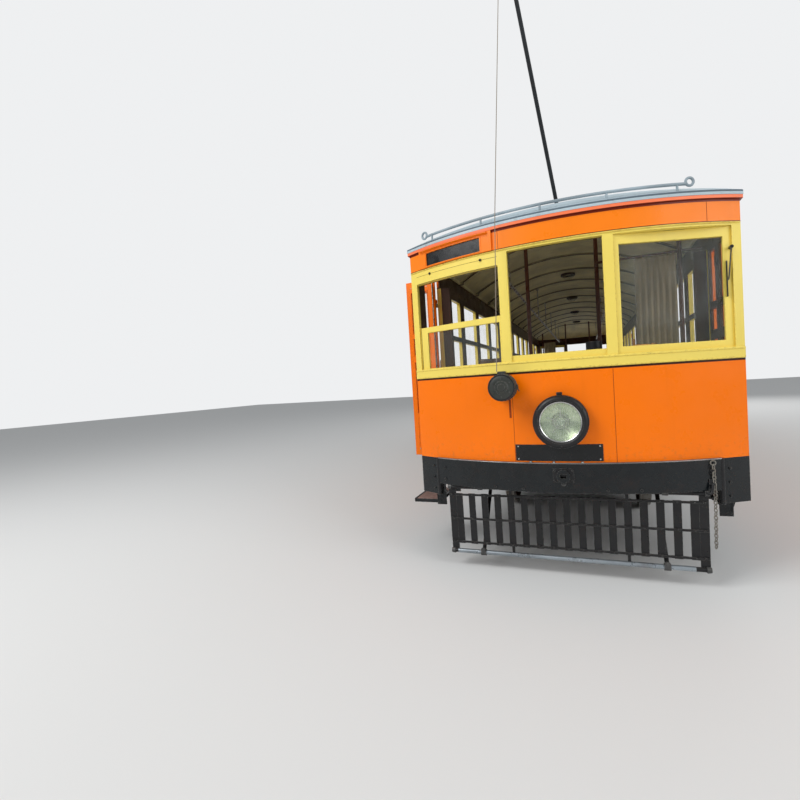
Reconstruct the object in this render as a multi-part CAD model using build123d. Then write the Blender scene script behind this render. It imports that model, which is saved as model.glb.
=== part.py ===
from build123d import *
from math import atan2, cos, degrees, sin, sqrt
import os

# Double-truck, double-ended streetcar. Millimetres.
# Origin: middle of the car at the lowest points of the wheel flanges, which it stands on.
# End 1 looks towards -Y and end 2 towards +Y; +X is on the right of who looks at end 1; +Z is up.
# End 2 is end 1 turned half a turn about Z.

# Body in plan
HALF_LENGTH = 6270.0  # middle of the car to the nose of either dash
HALF_WIDTH = 1245.0
END_RADIUS = 2399.0  # plan arc of both ends
JAMB_FRONT_DEPTH = 178.0  # corner post, measured back from where the end arc meets the side
DOORWAY_LENGTH = 600.0
END_WALL = 40.0
SIDE_WALL = 56.0
LETTERBOARD_WALL = 38.0
MOULDING_PROUD = 18.0
MOULDING_HEIGHT = 24.0
PILASTER = (84.0, 60.0)  # across the car and along it, at each end of the saloon's walls

# Heights above the wheel flanges
SKIRT_BOTTOM = 640.0
DASH_BOTTOM = 935.0
BELT = 1640.0
SILL_RAIL = 80.0
SILL_TOP = BELT + SILL_RAIL
BAND_TOP = 2596.0
DOOR_HEAD = 2685.0
CORNICE = 2783.0
CROWN = 3200.0
PLATFORM_TOP = 825.0
FLOOR_TOP = 925.0
FLOOR_THICK = 40.0
FLOOR_END_BEAM = 90.0

# Underframe
SIDE_SILL_SET = 4.0  # how far the side sills stand behind the side panels' faces
CENTRE_SILL_X = (300.0, 380.0)
CENTRE_SILL_HALF = 5400.0
CENTRE_SILL_LOW = 675.0
BOLSTER_LOW = 745.0
KINGPIN = 28.0

# Roof
EAVE_DEPTH = 30.0
EAVE_OVERHANG = 20.0
HOOD_RUN = 1600.0  # how far back from the eave each domed hood reaches the crown
ROOF_SHEET = 30.0
CEILING_SHEET = 10.0
CEILING_GAP = 0.5
RIB_DEPTH = 26.0
RIB_WIDTH = 44.0

# End windows, as seen from outside end 1
POST_IN = 337.0
POST_OUT = 412.0
POST_DEPTH = 66.0
SILL_DEPTH = 92.0
SILL_NOSE = 8.0
CORNER_POST_IN = 1180.0
HEADER_BOTTOM = 2575.0
LEFT_HEADER_BOTTOM = 2480.0
LEFT_SASH_TOP = 2095.0
CENTRE_SASH_SHOWS = 50.0
SASH_THICK = 32.0
SASH_SET = 14.0  # how far the flat sashes' ends stand behind the posts' faces
GLASS = 6.0

# Side windows
WINDOWS = 12
SIDE_POST = 84.0
PANE_MARGIN = 38.0
PANES = ((SILL_TOP + 44, 2070.0), (2122.0, 2540.0))  # low and high edge of each pane, heights
REVEAL = 14.0

# Doors and steps
LEAF_THICK = 34.0
LEAF_SET = 4.0  # how far the leaves stand behind the body's face
LEAF_GAP = 5.0
LEAF_NOSE_GAP = 13.0  # at the edge that swings past the front jamb
HINGE_OFFSET = 10.0  # from a leaf's or jamb's face to the hinge pin
HINGE_RADIUS = 9.0
HINGE_PIN = 4.5
HINGE_KNUCKLE = 40.0
HINGE_STRAP = 45.0
HINGE_HEIGHTS = (1060.0, 2440.0)
DOOR_ANGLE = 85.0
DOOR_SILL_GAP = 12.0
LEAF_STILE = 55.0
LEAF_PANES = ((1290.0, 1820.0), (1900.0, 2075.0), (2135.0, 2560.0))
DOORS_OPEN = ("1_left", "2_right")  # folded open, with their steps down
STEP_ANGLE = 72.0  # from flat to folded up
STEP_PIVOT_X = 1165.0
STEP_PIVOT_Z = 470.0
STEP_DEPTH = 262.0
STEP_THICK = 30.0
RISER_X = 1128.0  # outer face of the riser behind each step
RISER_THICK = 30.0
STEP_ROD = 14.0
STEP_ROD_GAP = 28.0
STEP_END_GAP = 50.0
STEP_BRACKET = 12.0

# Trucks
TRUCK_CENTRE = 3100.0
WHEELBASE = 1600.0
GAUGE = 1435.0
TREAD_RADIUS = 330.0
FLANGE = 25.0
FRAME_X = 935.0
FRAME_THICK = 50.0
JOURNAL_RADIUS = 44.0
JOURNAL_CLEARANCE = 0.6
AXLE_RADIUS = 64.0
CENTRE_PLATE_Z = 706.0
FRAME_TOP = 628.0
FRAME_BAR = 83.0
FRAME_HALF = 1150.0
TRANSOM = (170.0, 430.0, 600.0)  # half its width along the car, low, high
TRANSOM_BELLY = 40.0
CENTRE_PLATE = 175.0
BOX_HALF = 88.0
BOX_Z = (268.0, 452.0)
BOX_X = (45.0, 75.0)  # how far the boxes stand in and out from the frame's middle
JAW = 46.0
JAW_DROP = 60.0
LOWER_BAR = (300.0, 262.0, 50.0)  # height at its ends, at its middle, thick
LEAF_SPRING = (300.0, 70.0, 10.0)  # half length, wide, thick leaf
SPRING_LEAVES = 5
SPRING_BOW = 55.0
SHOE = (36.0, 218.0)  # thick, high
SHOE_CLEARANCE = 5.5
SHOE_X = (722.0, 794.0)
COIL = (44.0, 34.0, 4)  # outer and inner radius, turns
MOTOR_SET = 330.0  # from its axle to the motor's middle, along the car
MOTOR = (215.0, 290.0, 380.0)  # radius, half length, height of its middle

# Pipe rail along the front edge of each hood
RAIL_X = (-1050.0, 900.0)
RAIL_INSET = 44.0
RAIL_LIFT = 46.0
RAIL_PIPE = 11.0
RAIL_EYE = 27.0
RAIL_BRACKETS = 5

# Trolley poles
POLE_BASE_Y = 2180.0
POLE_PIVOT_Z = 3440.0
POLE_LENGTH = 4250.0
POLE_WALL = 5.0
POLE_RAISED = 34.0  # end 1 pole, degrees above level
POLE_SWING = 5.77  # end 1 pole, degrees towards -X
PIN_CLEARANCE = 0.6
REST_GAP = 0.3  # left between pieces that bear on one another

# Inside
AISLE_HALF = 300.0
SEAT_GAP = 12.0
SEAT_HEIGHT = 460.0
CUSHION = (420.0, 110.0)  # along the car, thick
SEAT_BACK = (225.0, 275.0, 40.0, 520.0)  # faces behind the seat's middle; edges above its top
SEAT_LEG = (40.0, 120.0)  # across and along the car
STANCHION = 19.0
STANCHION_BACK = 1330.0  # behind the nose
DOOR_POST_X = 1010.0
CURTAIN_RAIL = (12.0, 2640.0)  # radius, height
CURTAIN_X = (640.0, 985.0)
CURTAIN_BACK = 1190.0
CURTAIN_THICK = 36.0
CURTAIN_BOTTOM = 1560.0
GEAR_BACK = 520.0
CONTROLLER = (300.0, 250.0, 900.0)  # across, along, high
CONTROLLER_X = 710.0
VALVE_X = 260.0
STOOL = (620.0, 960.0, 680.0)  # x, distance behind the nose, height of its top

# Below the floor
TANK = (165.0, 430.0, 620.0)  # radius, half length, height of its middle
TANK_X = -760.0
TANK_Y = (-1000.0, 1000.0)
COMPRESSOR = (180.0, 330.0, 480.0, 720.0)  # half width, half length, low, high
GRID_X = (520.0, 1040.0)
GRID_HALF = 400.0
GRID_Z = (470.0, 760.0)
GRID_Y = (-1000.0, 0.0, 1000.0)
GRID_SLOTS = 9

# Front gear
BUMPER_PROUD = 30.0
BUMPER_TOP = 935.0
BUMPER_BOTTOM = 715.0
BUMPER_HALF = 1050.0
DRAWBAR_Z = 850.0
DRAWBAR_BOSS = 48.0
DRAWBAR_PROUD = 70.0
DRAWBAR_SLOT = (44.0, 60.0, 30.0)  # across, deep, high
DRAWBAR_PIN = 12.0
DRAWBAR_PIN_BACK = 25.0
HEADLIGHT_Z = 1255.0
HEADLIGHT_RADIUS = 196.0
LENS_RADIUS = 156.0
HEADLIGHT_PROUD = 86.0
RETRIEVER_X = -400.0
RETRIEVER_Z = BELT - 109
RETRIEVER_RADIUS = 100.0
RETRIEVER_PROUD = 166.0
SIGN_X = (-1130.0, -450.0)
SIGN_GLASS_X = (-1050.0, -540.0)
SIGN_EDGE = 12.0
SIGN_PROUD = 18.0

# Fender: a basket of upright slats in a pipe frame
FENDER_TOP = (170.0, 697.0)  # behind the nose, and height
FENDER_FOOT = (190.0, 137.0)
FENDER_HALF = 953.0
FENDER_PIPE = 17.0
FENDER_BARS = (217.0, 421.0, 628.0)
FENDER_BAR = (12.0, 16.0)  # thick, high
FENDER_SLATS = 17
FENDER_SLAT = (55.0, 8.0)  # wide, thick
FENDER_STRAP = 60.0
FENDER_HANGER_X = 430.0
FENDER_BRACE_X = 680.0

NODES = {}


def block(x, y, z):
    """Box between the two values given for each axis, in either order."""
    (x0, x1), (y0, y1), (z0, z1) = sorted(x), sorted(y), sorted(z)
    return Pos((x0 + x1) / 2, (y0 + y1) / 2, (z0 + z1) / 2) * Box(x1 - x0, y1 - y0, z1 - z0)


def rod(start, end, radius):
    """Round bar from one point to another."""
    start, end = Vector(*start), Vector(*end)
    along = Plane(origin=start, z_dir=end - start)
    return along * Cylinder(radius, (end - start).length, align=(Align.CENTER, Align.CENTER, Align.MIN))


def joined(pieces):
    """One solid from pieces that touch or overlap."""
    first, *rest = pieces
    return first + rest if rest else first


def turned(pieces):
    """The same pieces at end 2."""
    return [Rot(0, 0, 180) * piece for piece in pieces]


def node(name, *pieces):
    NODES[name] = Compound(children=[solid for piece in pieces for solid in piece.solids()])


def end_y(x, proud=0.0):
    """Y of end 1's curved face at x, or of a face parallel to it and proud of it."""
    return -HALF_LENGTH + END_RADIUS - sqrt((END_RADIUS + proud) ** 2 - x * x)


CORNER_Y = end_y(HALF_WIDTH)  # where the end arc meets the side
JAMB_FRONT_Y = CORNER_Y + JAMB_FRONT_DEPTH
JAMB_REAR_Y = JAMB_FRONT_Y + DOORWAY_LENGTH
SIDE_HALF = -JAMB_REAR_Y


def end_band(x, faces, z):
    """Piece of end 1's curved wall: between two x, two faces given by how proud they are, and two heights."""
    x0, x1 = x
    xm = (x0 + x1) / 2
    outer, inner = faces
    rim = [
        ThreePointArc((x0, end_y(x0, outer)), (xm, end_y(xm, outer)), (x1, end_y(x1, outer))),
        Line((x1, end_y(x1, outer)), (x1, end_y(x1, inner))),
        ThreePointArc((x1, end_y(x1, inner)), (xm, end_y(xm, inner)), (x0, end_y(x0, inner))),
        Line((x0, end_y(x0, inner)), (x0, end_y(x0, outer))),
    ]
    return Pos(0, 0, z[0]) * extrude(Face(Wire(rim)), z[1] - z[0], (0, 0, 1))


def plan_slab(inset, z):
    """Slab with the car's plan, set in by the same amount all round."""
    side = HALF_WIDTH - inset
    corner, nose = end_y(side, -inset), end_y(0, -inset)
    rim = [
        ThreePointArc((-side, corner), (0, nose), (side, corner)),
        Line((side, corner), (side, -corner)),
        ThreePointArc((side, -corner), (0, -nose), (-side, -corner)),
        Line((-side, -corner), (-side, corner)),
    ]
    return Pos(0, 0, z[0]) * extrude(Face(Wire(rim)), z[1] - z[0], (0, 0, 1))


# Roof vault: an arch along the car, with both ends closed by hoods that follow the end arcs
ROOF_HALF = HALF_WIDTH + EAVE_OVERHANG
EAVE_TOP = CORNICE + EAVE_DEPTH
ARCH_RISE = CROWN - EAVE_TOP
ARCH_RADIUS = (ROOF_HALF**2 + ARCH_RISE**2) / (2 * ARCH_RISE)
HOOD_RADIUS = (HOOD_RUN**2 + ARCH_RISE**2) / (2 * ARCH_RISE)
HOOD_CENTRE = END_RADIUS + EAVE_OVERHANG - HOOD_RUN


def vault(inset, bottom):
    """Solid under a surface that lies everywhere the same distance inside the roof's outer face."""
    arch_edge = sqrt((ARCH_RADIUS - inset) ** 2 - (ARCH_RADIUS - ARCH_RISE) ** 2)
    hood_edge = HOOD_CENTRE + sqrt((HOOD_RADIUS - inset) ** 2 - (HOOD_RADIUS - ARCH_RISE) ** 2)
    crown = CROWN - inset
    length = 2 * HALF_LENGTH + 400
    section = [
        Line((-arch_edge, bottom), (-arch_edge, EAVE_TOP)),
        ThreePointArc((-arch_edge, EAVE_TOP), (0, crown), (arch_edge, EAVE_TOP)),
        Line((arch_edge, EAVE_TOP), (arch_edge, bottom)),
        Line((arch_edge, bottom), (-arch_edge, bottom)),
    ]
    arch = extrude(Plane.XZ * Face(Wire(section)), length / 2, (0, 1, 0), both=True)
    half_angle = atan2(hood_edge - HOOD_CENTRE, HOOD_RADIUS - ARCH_RISE) / 2
    middle = (
        HOOD_CENTRE + (HOOD_RADIUS - inset) * sin(half_angle),
        CROWN - HOOD_RADIUS + (HOOD_RADIUS - inset) * cos(half_angle),
    )
    profile = [
        Line((0, bottom), (0, crown)),
        Line((0, crown), (HOOD_CENTRE, crown)),
        ThreePointArc((HOOD_CENTRE, crown), middle, (hood_edge, EAVE_TOP)),
        Line((hood_edge, EAVE_TOP), (hood_edge, bottom)),
        Line((hood_edge, bottom), (0, bottom)),
    ]
    centre_y = HALF_LENGTH - END_RADIUS
    dome = revolve(Plane.XZ * Face(Wire(profile)), Axis.Z, 360)
    middle_part = block((-ROOF_HALF, ROOF_HALF), (-centre_y, centre_y), (bottom, crown))
    return arch & joined([middle_part, Pos(0, -centre_y, 0) * dome, Pos(0, centre_y, 0) * dome])


def build_roof():
    roof = vault(0, CORNICE) - vault(ROOF_SHEET, CORNICE - 1)
    node("roof", roof)
    top = ROOF_SHEET + CEILING_GAP
    lining = vault(top, CORNICE) - vault(top + CEILING_SHEET, CORNICE - 1)
    thick = vault(top, CORNICE) - vault(top + RIB_DEPTH, CORNICE - 1)
    pitch = 2 * SIDE_HALF / WINDOWS
    lines = [-SIDE_HALF + index * pitch for index in range(WINDOWS + 1)]
    ribs = []
    for y in lines:
        slab = block((-ROOF_HALF, ROOF_HALF), (y - RIB_WIDTH / 2, y + RIB_WIDTH / 2), (CORNICE, CROWN))
        ribs.append(thick & slab)
    node("ceiling", joined([lining, *ribs]))


def build_letterboard():
    """Board above the windows, in lengths: along each side, over each door and round each end."""
    rim = plan_slab(-MOULDING_PROUD, (CORNICE - MOULDING_HEIGHT, CORNICE))
    ring = plan_slab(0, (BAND_TOP, CORNICE)) + rim - plan_slab(LETTERBOARD_WALL, (BAND_TOP, CORNICE))
    wide = (-2 * HALF_WIDTH, 2 * HALF_WIDTH)
    side_length = (REST_GAP - SIDE_HALF, SIDE_HALF - REST_GAP)
    nose = ring & block(wide, (-2 * HALF_LENGTH, JAMB_FRONT_Y - REST_GAP), (BAND_TOP, CORNICE))
    boards = [nose, *turned([nose])]
    for side in (-1, 1):
        half = (0, side * 2 * HALF_WIDTH)
        header = ring & block(half, (JAMB_FRONT_Y, -SIDE_HALF), (DOOR_HEAD, CORNICE))
        boards += [header, *turned([header])]
        boards.append(ring & block(half, side_length, (BAND_TOP, CORNICE)))
    node("letterboard", *boards)


def build_dashes():
    wall = end_band((-HALF_WIDTH, HALF_WIDTH), (0, -END_WALL), (DASH_BOTTOM, BELT))
    returns = []
    for side in (-1, 1):
        x = (side * (HALF_WIDTH - SIDE_WALL), side * HALF_WIDTH)
        returns.append(block(x, (CORNER_Y, JAMB_FRONT_Y), (DASH_BOTTOM, BELT)))
    dash = joined([wall, *returns])
    node("dash_1", dash)
    node("dash_2", *turned([dash]))


def flat_slab(x, depth, z):
    """Flat upright slab behind end 1's curve, cut off at two x.

    Its front line, at depth 0, joins the curve's points at those x, SASH_SET behind the face.
    """
    x0, x1 = x
    y0, y1 = end_y(x0, -SASH_SET), end_y(x1, -SASH_SET)
    turn = degrees(atan2(y1 - y0, x1 - x0))
    slab = Pos(x0, y0, 0) * Rot(0, 0, turn) * block((-HALF_WIDTH, 2 * HALF_WIDTH), depth, z)
    return slab & block(x, (-2 * HALF_LENGTH, 0), z)


def end_frame():
    """Posts, sill and header round the three windows of end 1."""
    deep = (0, -POST_DEPTH)
    sill = end_band((-HALF_WIDTH, HALF_WIDTH), (SILL_NOSE, -SILL_DEPTH), (BELT, SILL_TOP))
    header = end_band((-HALF_WIDTH, HALF_WIDTH), deep, (HEADER_BOTTOM, BAND_TOP))
    left_header = end_band((-CORNER_POST_IN, -POST_OUT), deep, (LEFT_HEADER_BOTTOM, BAND_TOP))
    pieces = [sill, header, left_header]
    for side in (-1, 1):
        x0, x1 = sorted((side * POST_IN, side * POST_OUT))
        pieces.append(end_band((x0, x1), deep, (BELT, BAND_TOP)))
        x0, x1 = sorted((side * CORNER_POST_IN, side * HALF_WIDTH))
        pieces.append(end_band((x0, x1), deep, (BELT, BAND_TOP)))
        pieces.append(block((x0, x1), (CORNER_Y, JAMB_FRONT_Y), (BELT, BAND_TOP)))
    return joined(pieces)


def build_end_windows():
    frame = end_frame()
    node("end_frame_1", frame)
    node("end_frame_2", *turned([frame]))
    # Sashes: left lower, dropped centre and closed right, each with its glass
    face = (0, SASH_THICK)
    glass_face = ((SASH_THICK - GLASS) / 2, (SASH_THICK + GLASS) / 2)
    sashes, panes = [], []
    # columns: x low, x high, z high, left stile, right stile, bottom rail, top rail
    table = (
        (-CORNER_POST_IN, -POST_OUT, LEFT_SASH_TOP, 80.0, 12.0, 8.0, 50.0),
        (POST_OUT, CORNER_POST_IN, HEADER_BOTTOM, 33.0, 57.0, 55.0, 70.0),
    )
    for x0, x1, z1, left, right, bottom, top in table:
        hole_x = (x0 + left, x1 - right)
        hole_z = (SILL_TOP + bottom, z1 - top)
        hole = block(hole_x, (-2 * HALF_LENGTH, 0), hole_z)
        sashes.append(flat_slab((x0, x1), face, (SILL_TOP, z1)) - hole)
        panes.append(flat_slab((x0, x1), glass_face, hole_z) & hole)
    sashes.append(flat_slab((-POST_IN, POST_IN), face, (SILL_TOP, SILL_TOP + CENTRE_SASH_SHOWS)))
    node("end_sashes", *sashes, *turned(sashes))
    node("end_glass", *panes, *turned(panes))


def build_sides():
    pitch = 2 * SIDE_HALF / WINDOWS
    for name, side in (("left", -1), ("right", 1)):
        x = (side * (HALF_WIDTH - SIDE_WALL), side * HALF_WIDTH)
        panel = [block(x, (-SIDE_HALF, SIDE_HALF), (DASH_BOTTOM, BELT))]
        walls = [block(x, (-SIDE_HALF, SIDE_HALF), (BELT, BAND_TOP))]
        inward, along = PILASTER
        post_x = (side * (HALF_WIDTH - SIDE_WALL - inward), side * (HALF_WIDTH - SIDE_WALL))
        for end in (-1, 1):
            post_y = (end * (SIDE_HALF - along), end * SIDE_HALF)
            panel.append(block(post_x, post_y, (DASH_BOTTOM, BELT)))
            walls.append(block(post_x, post_y, (BELT, BAND_TOP)))
        node(f"side_panel_{name}", joined(panel))
        band = joined(walls)
        cuts = []
        for index in range(WINDOWS):
            y0 = -SIDE_HALF + index * pitch + SIDE_POST / 2
            y1 = y0 + pitch - SIDE_POST
            reveal = (side * (HALF_WIDTH - REVEAL), side * (HALF_WIDTH + 1))
            cuts.append(block(reveal, (y0, y1), (SILL_TOP, PANES[-1][1] + PANE_MARGIN)))
            for z0, z1 in PANES:
                through = (x[0] - side, x[1] + side)
                cuts.append(block(through, (y0 + PANE_MARGIN, y1 - PANE_MARGIN), (z0, z1)))
        node(f"window_band_{name}", band - cuts)
    glass_x = HALF_WIDTH - SIDE_WALL / 2
    panes = []
    for side in (-1, 1):
        for index in range(WINDOWS):
            y0 = -SIDE_HALF + index * pitch + SIDE_POST / 2 + PANE_MARGIN
            y1 = -SIDE_HALF + (index + 1) * pitch - SIDE_POST / 2 - PANE_MARGIN
            for z0, z1 in PANES:
                x = (side * (glass_x - GLASS / 2), side * (glass_x + GLASS / 2))
                panes.append(block(x, (y0, y1), (z0, z1)))
    node("side_glass", *panes)


def build_floor():
    """Saloon floor with a beam across each end, and the lower platform floors that butt against it."""
    half = HALF_WIDTH - SIDE_WALL
    low = PLATFORM_TOP - FLOOR_THICK
    saloon_end = SIDE_HALF - FLOOR_END_BEAM / 2
    hollow_end = SIDE_HALF - FLOOR_END_BEAM
    saloon = block((-half, half), (-saloon_end, saloon_end), (low, FLOOR_TOP))
    saloon -= block((-HALF_WIDTH, HALF_WIDTH), (-hollow_end, hollow_end), (low - 1, FLOOR_TOP - FLOOR_THICK))
    ahead = (-2 * HALF_LENGTH, -saloon_end - REST_GAP)
    platform = plan_slab(SIDE_WALL, (low, PLATFORM_TOP)) & block((-half, half), ahead, (low, PLATFORM_TOP))
    node("floor", saloon, platform, *turned([platform]))


def build_underframe():
    platform_under = PLATFORM_TOP - FLOOR_THICK
    saloon_under = FLOOR_TOP - FLOOR_THICK
    saloon_half = SIDE_HALF - FLOOR_END_BEAM
    pieces = []
    sill_x = HALF_WIDTH - SIDE_WALL
    for side in (-1, 1):
        sill = (side * sill_x, side * (HALF_WIDTH - SIDE_SILL_SET))
        pieces.append(block(sill, (-SIDE_HALF, SIDE_HALF), (SKIRT_BOTTOM, DASH_BOTTOM)))
        beam = (side * CENTRE_SILL_X[0], side * CENTRE_SILL_X[1])
        pieces.append(block(beam, (-CENTRE_SILL_HALF, CENTRE_SILL_HALF), (CENTRE_SILL_LOW, platform_under)))
        pieces.append(block(beam, (-saloon_half, saloon_half), (CENTRE_SILL_LOW, saloon_under)))
    for y in (-TRUCK_CENTRE, TRUCK_CENTRE):
        pieces.append(block((-sill_x, sill_x), (y - 150, y + 150), (BOLSTER_LOW, saloon_under)))
        pieces.append(Pos(0, y, CENTRE_PLATE_Z) * Cylinder(150, saloon_under - CENTRE_PLATE_Z, align=BASE))
        pieces.append(Pos(0, y, CENTRE_PLATE_Z - 60) * Cylinder(KINGPIN, 80, align=BASE))
    for y in (-1500, -500, 500, 1500):
        pieces.append(block((-sill_x, sill_x), (y - 40, y + 40), (CENTRE_SILL_LOW + 20, saloon_under)))
    for y in (-SIDE_HALF + 40, SIDE_HALF - 40):
        pieces.append(block((-sill_x, sill_x), (y - 40, y + 40), (CENTRE_SILL_LOW + 20, platform_under)))
    node("underframe", joined(pieces))


def build_bumpers():
    plate = end_band((-BUMPER_HALF, BUMPER_HALF), (BUMPER_PROUD, 0), (BUMPER_BOTTOM, BUMPER_TOP))
    skirts = [end_band((-HALF_WIDTH, HALF_WIDTH), (0, -END_WALL), (BUMPER_BOTTOM, DASH_BOTTOM))]
    returns = []
    for side in (-1, 1):
        x0, x1 = sorted((side * (BUMPER_HALF - 20), side * HALF_WIDTH))
        skirts.append(end_band((x0, x1), (0, -END_WALL), (SKIRT_BOTTOM - 30, DASH_BOTTOM)))
        x = (side * (HALF_WIDTH - SIDE_WALL), side * HALF_WIDTH)
        straight = block(x, (CORNER_Y, JAMB_FRONT_Y), (SKIRT_BOTTOM - 30, DASH_BOTTOM))
        corner = end_band((x0, x1), (1, -END_WALL - REST_GAP), (SKIRT_BOTTOM - 31, DASH_BOTTOM + 1))
        returns.append(straight - corner)
    nose = end_y(0, DRAWBAR_PROUD)
    boss = rod((0, nose, DRAWBAR_Z), (0, end_y(0), DRAWBAR_Z), DRAWBAR_BOSS)
    wide, deep, high = DRAWBAR_SLOT
    pocket_z = (DRAWBAR_Z - high / 2, DRAWBAR_Z + high / 2)
    pocket = block((-wide / 2, wide / 2), (nose - 1, nose + deep), pocket_z)
    pin_y = nose + DRAWBAR_PIN_BACK
    pin = rod((0, pin_y, DRAWBAR_Z - 2 * DRAWBAR_BOSS), (0, pin_y, DRAWBAR_Z + 2 * DRAWBAR_BOSS), DRAWBAR_PIN)
    bumper = joined([plate, *skirts, boss]) - pocket - pin
    node("bumpers", bumper, *returns, *turned([bumper, *returns]))


def build_step_wells():
    """Riser under each doorway, with the brackets that hold the hinge rod of its step."""
    rod_z = STEP_PIVOT_Z - STEP_THICK / 2
    wells = []
    for side in (-1, 1):
        riser_x = (side * (RISER_X - RISER_THICK), side * RISER_X)
        pieces = [
            block(riser_x, (CORNER_Y, JAMB_REAR_Y), (SKIRT_BOTTOM, PLATFORM_TOP - FLOOR_THICK - REST_GAP)),
            block(
                (side * RISER_X, side * (HALF_WIDTH - SIDE_WALL - REST_GAP)),
                (CORNER_Y + 25, JAMB_FRONT_Y),
                (SKIRT_BOTTOM, SKIRT_BOTTOM + 60),
            ),
        ]
        for y in (JAMB_FRONT_Y + 32, JAMB_REAR_Y - 32 - STEP_BRACKET):
            x = (riser_x[0], side * (STEP_PIVOT_X + 25))
            pieces.append(block(x, (y, y + STEP_BRACKET), (rod_z - 25, SKIRT_BOTTOM + 60)))
        x = side * STEP_PIVOT_X
        bore = rod((x, JAMB_FRONT_Y, rod_z), (x, JAMB_REAR_Y, rod_z), STEP_ROD + PIN_CLEARANCE)
        wells.append(joined(pieces) - bore)
    node("step_wells", *wells, *turned(wells))


def build_fenders():
    """Basket ahead of the wheels: slats behind three bars, in a frame of pipe and strap."""
    top_y, top_z = -HALF_LENGTH + FENDER_TOP[0], FENDER_TOP[1]
    foot_y, foot_z = -HALF_LENGTH + FENDER_FOOT[0], FENDER_FOOT[1]
    lean = (foot_y - top_y) / (top_z - foot_z)
    tilt = degrees(atan2(foot_y - top_y, top_z - foot_z))

    def face_y(z):
        return top_y + (top_z - z) * lean

    def upright(x, wide, thick, z, back):
        middle = (z[0] + z[1]) / 2
        return Pos(x, face_y(middle) + back, middle) * Rot(tilt, 0, 0) * Box(wide, thick, z[1] - z[0])

    floor_under = PLATFORM_TOP - FLOOR_THICK - REST_GAP
    pipe_half = FENDER_HALF - 14
    bar_thick, bar_high = FENDER_BAR
    slat_wide, slat_thick = FENDER_SLAT
    slat_back = (bar_thick + slat_thick) / 2 - 1
    pieces = [
        rod((-pipe_half, top_y, top_z), (pipe_half, top_y, top_z), FENDER_PIPE),
        rod((-pipe_half, foot_y, foot_z), (pipe_half, foot_y, foot_z), FENDER_PIPE),
    ]
    for z in FENDER_BARS:
        bar_y = (face_y(z) - bar_thick / 2, face_y(z) + bar_thick / 2)
        pieces.append(block((-FENDER_HALF + 4, FENDER_HALF - 4), bar_y, (z - bar_high / 2, z + bar_high / 2)))
    for side in (-1, 1):
        x = side * (FENDER_HALF - FENDER_STRAP / 2)
        pieces.append(upright(x, FENDER_STRAP, slat_thick + 2, (foot_z, top_z), slat_back))
        x = side * FENDER_BRACE_X
        pieces.append(rod((x, foot_y, foot_z), (x, foot_y + 520, 700), FENDER_PIPE - 1))
        pieces.append(block((x - 20, x + 20), (foot_y + 480, foot_y + 560), (680, floor_under)))
        x = side * FENDER_HANGER_X
        pieces.append(rod((x, top_y, top_z), (x, top_y, floor_under), 12))
        pieces.append(upright(x, 22, 10, (foot_z, FENDER_BARS[0] + 4), 0))
        pieces.append(upright(x, 22, 10, (FENDER_BARS[-1] - 4, top_z), 0))
    reach = FENDER_HALF - FENDER_STRAP - slat_wide / 2
    slat_z = (FENDER_BARS[0] - bar_high / 2 - 8, FENDER_BARS[-1] + bar_high / 2 + 2)
    for index in range(FENDER_SLATS):
        x = reach * (2 * index / (FENDER_SLATS - 1) - 1)
        pieces.append(upright(x, slat_wide, slat_thick, slat_z, slat_back))
    fender = joined(pieces)
    node("fenders", fender, *turned([fender]))


def build_front_fittings():
    ring_y = end_y(0, HEADLIGHT_PROUD)
    drum = rod((0, ring_y, HEADLIGHT_Z), (0, end_y(HEADLIGHT_RADIUS, -2), HEADLIGHT_Z), HEADLIGHT_RADIUS)
    recess = rod((0, ring_y - 1, HEADLIGHT_Z), (0, ring_y + 60, HEADLIGHT_Z), LENS_RADIUS)
    wall_x = (-2 * HEADLIGHT_RADIUS, 2 * HEADLIGHT_RADIUS)
    shell = drum - recess - end_band(wall_x, (0, -END_WALL), (DASH_BOTTOM, BELT))
    lens = rod((0, ring_y + 10, HEADLIGHT_Z), (0, ring_y + 18, HEADLIGHT_Z), LENS_RADIUS - 0.3)
    node("headlights", shell, *turned([shell]))
    node("headlight_lenses", lens, *turned([lens]))
    face_y = -HALF_LENGTH - RETRIEVER_PROUD
    back_y = end_y(RETRIEVER_X + RETRIEVER_RADIUS) + 60
    x, z = RETRIEVER_X, RETRIEVER_Z
    drum = rod((x, face_y, z), (x, face_y + 95, z), RETRIEVER_RADIUS)
    neck = rod((x, face_y + 90, z), (x, back_y, z), 42)
    plate_x = (RETRIEVER_X - 55, RETRIEVER_X + 55)
    plate = block(plate_x, (face_y + 150, back_y), (RETRIEVER_Z - 80, RETRIEVER_Z + 80))
    wall_x = (x - 3 * RETRIEVER_RADIUS, x + 3 * RETRIEVER_RADIUS)
    body = joined([drum, neck, plate]) - end_band(wall_x, (0, -2 * END_WALL), (DASH_BOTTOM, SILL_TOP))
    node("retrievers", body, *turned([body]))
    sign_z = (BAND_TOP + SIGN_EDGE / 2, CORNICE - MOULDING_HEIGHT - REST_GAP)
    glass_z = (sign_z[0] + SIGN_EDGE, sign_z[1] - 3 * SIGN_EDGE)
    frame = end_band(SIGN_X, (SIGN_PROUD, 0), sign_z)
    sign = frame - end_band(SIGN_GLASS_X, (SIGN_PROUD + 1, SIGN_PROUD - 14), glass_z)
    node("signs", sign, *turned([sign]))


def side_plate(rim, x):
    """Plate between two x with the outline given in Y and Z."""
    low, high = sorted(x)
    return Pos(low, 0, 0) * extrude(Plane.YZ * Face(Wire(rim)), high - low, (1, 0, 0))


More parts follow.
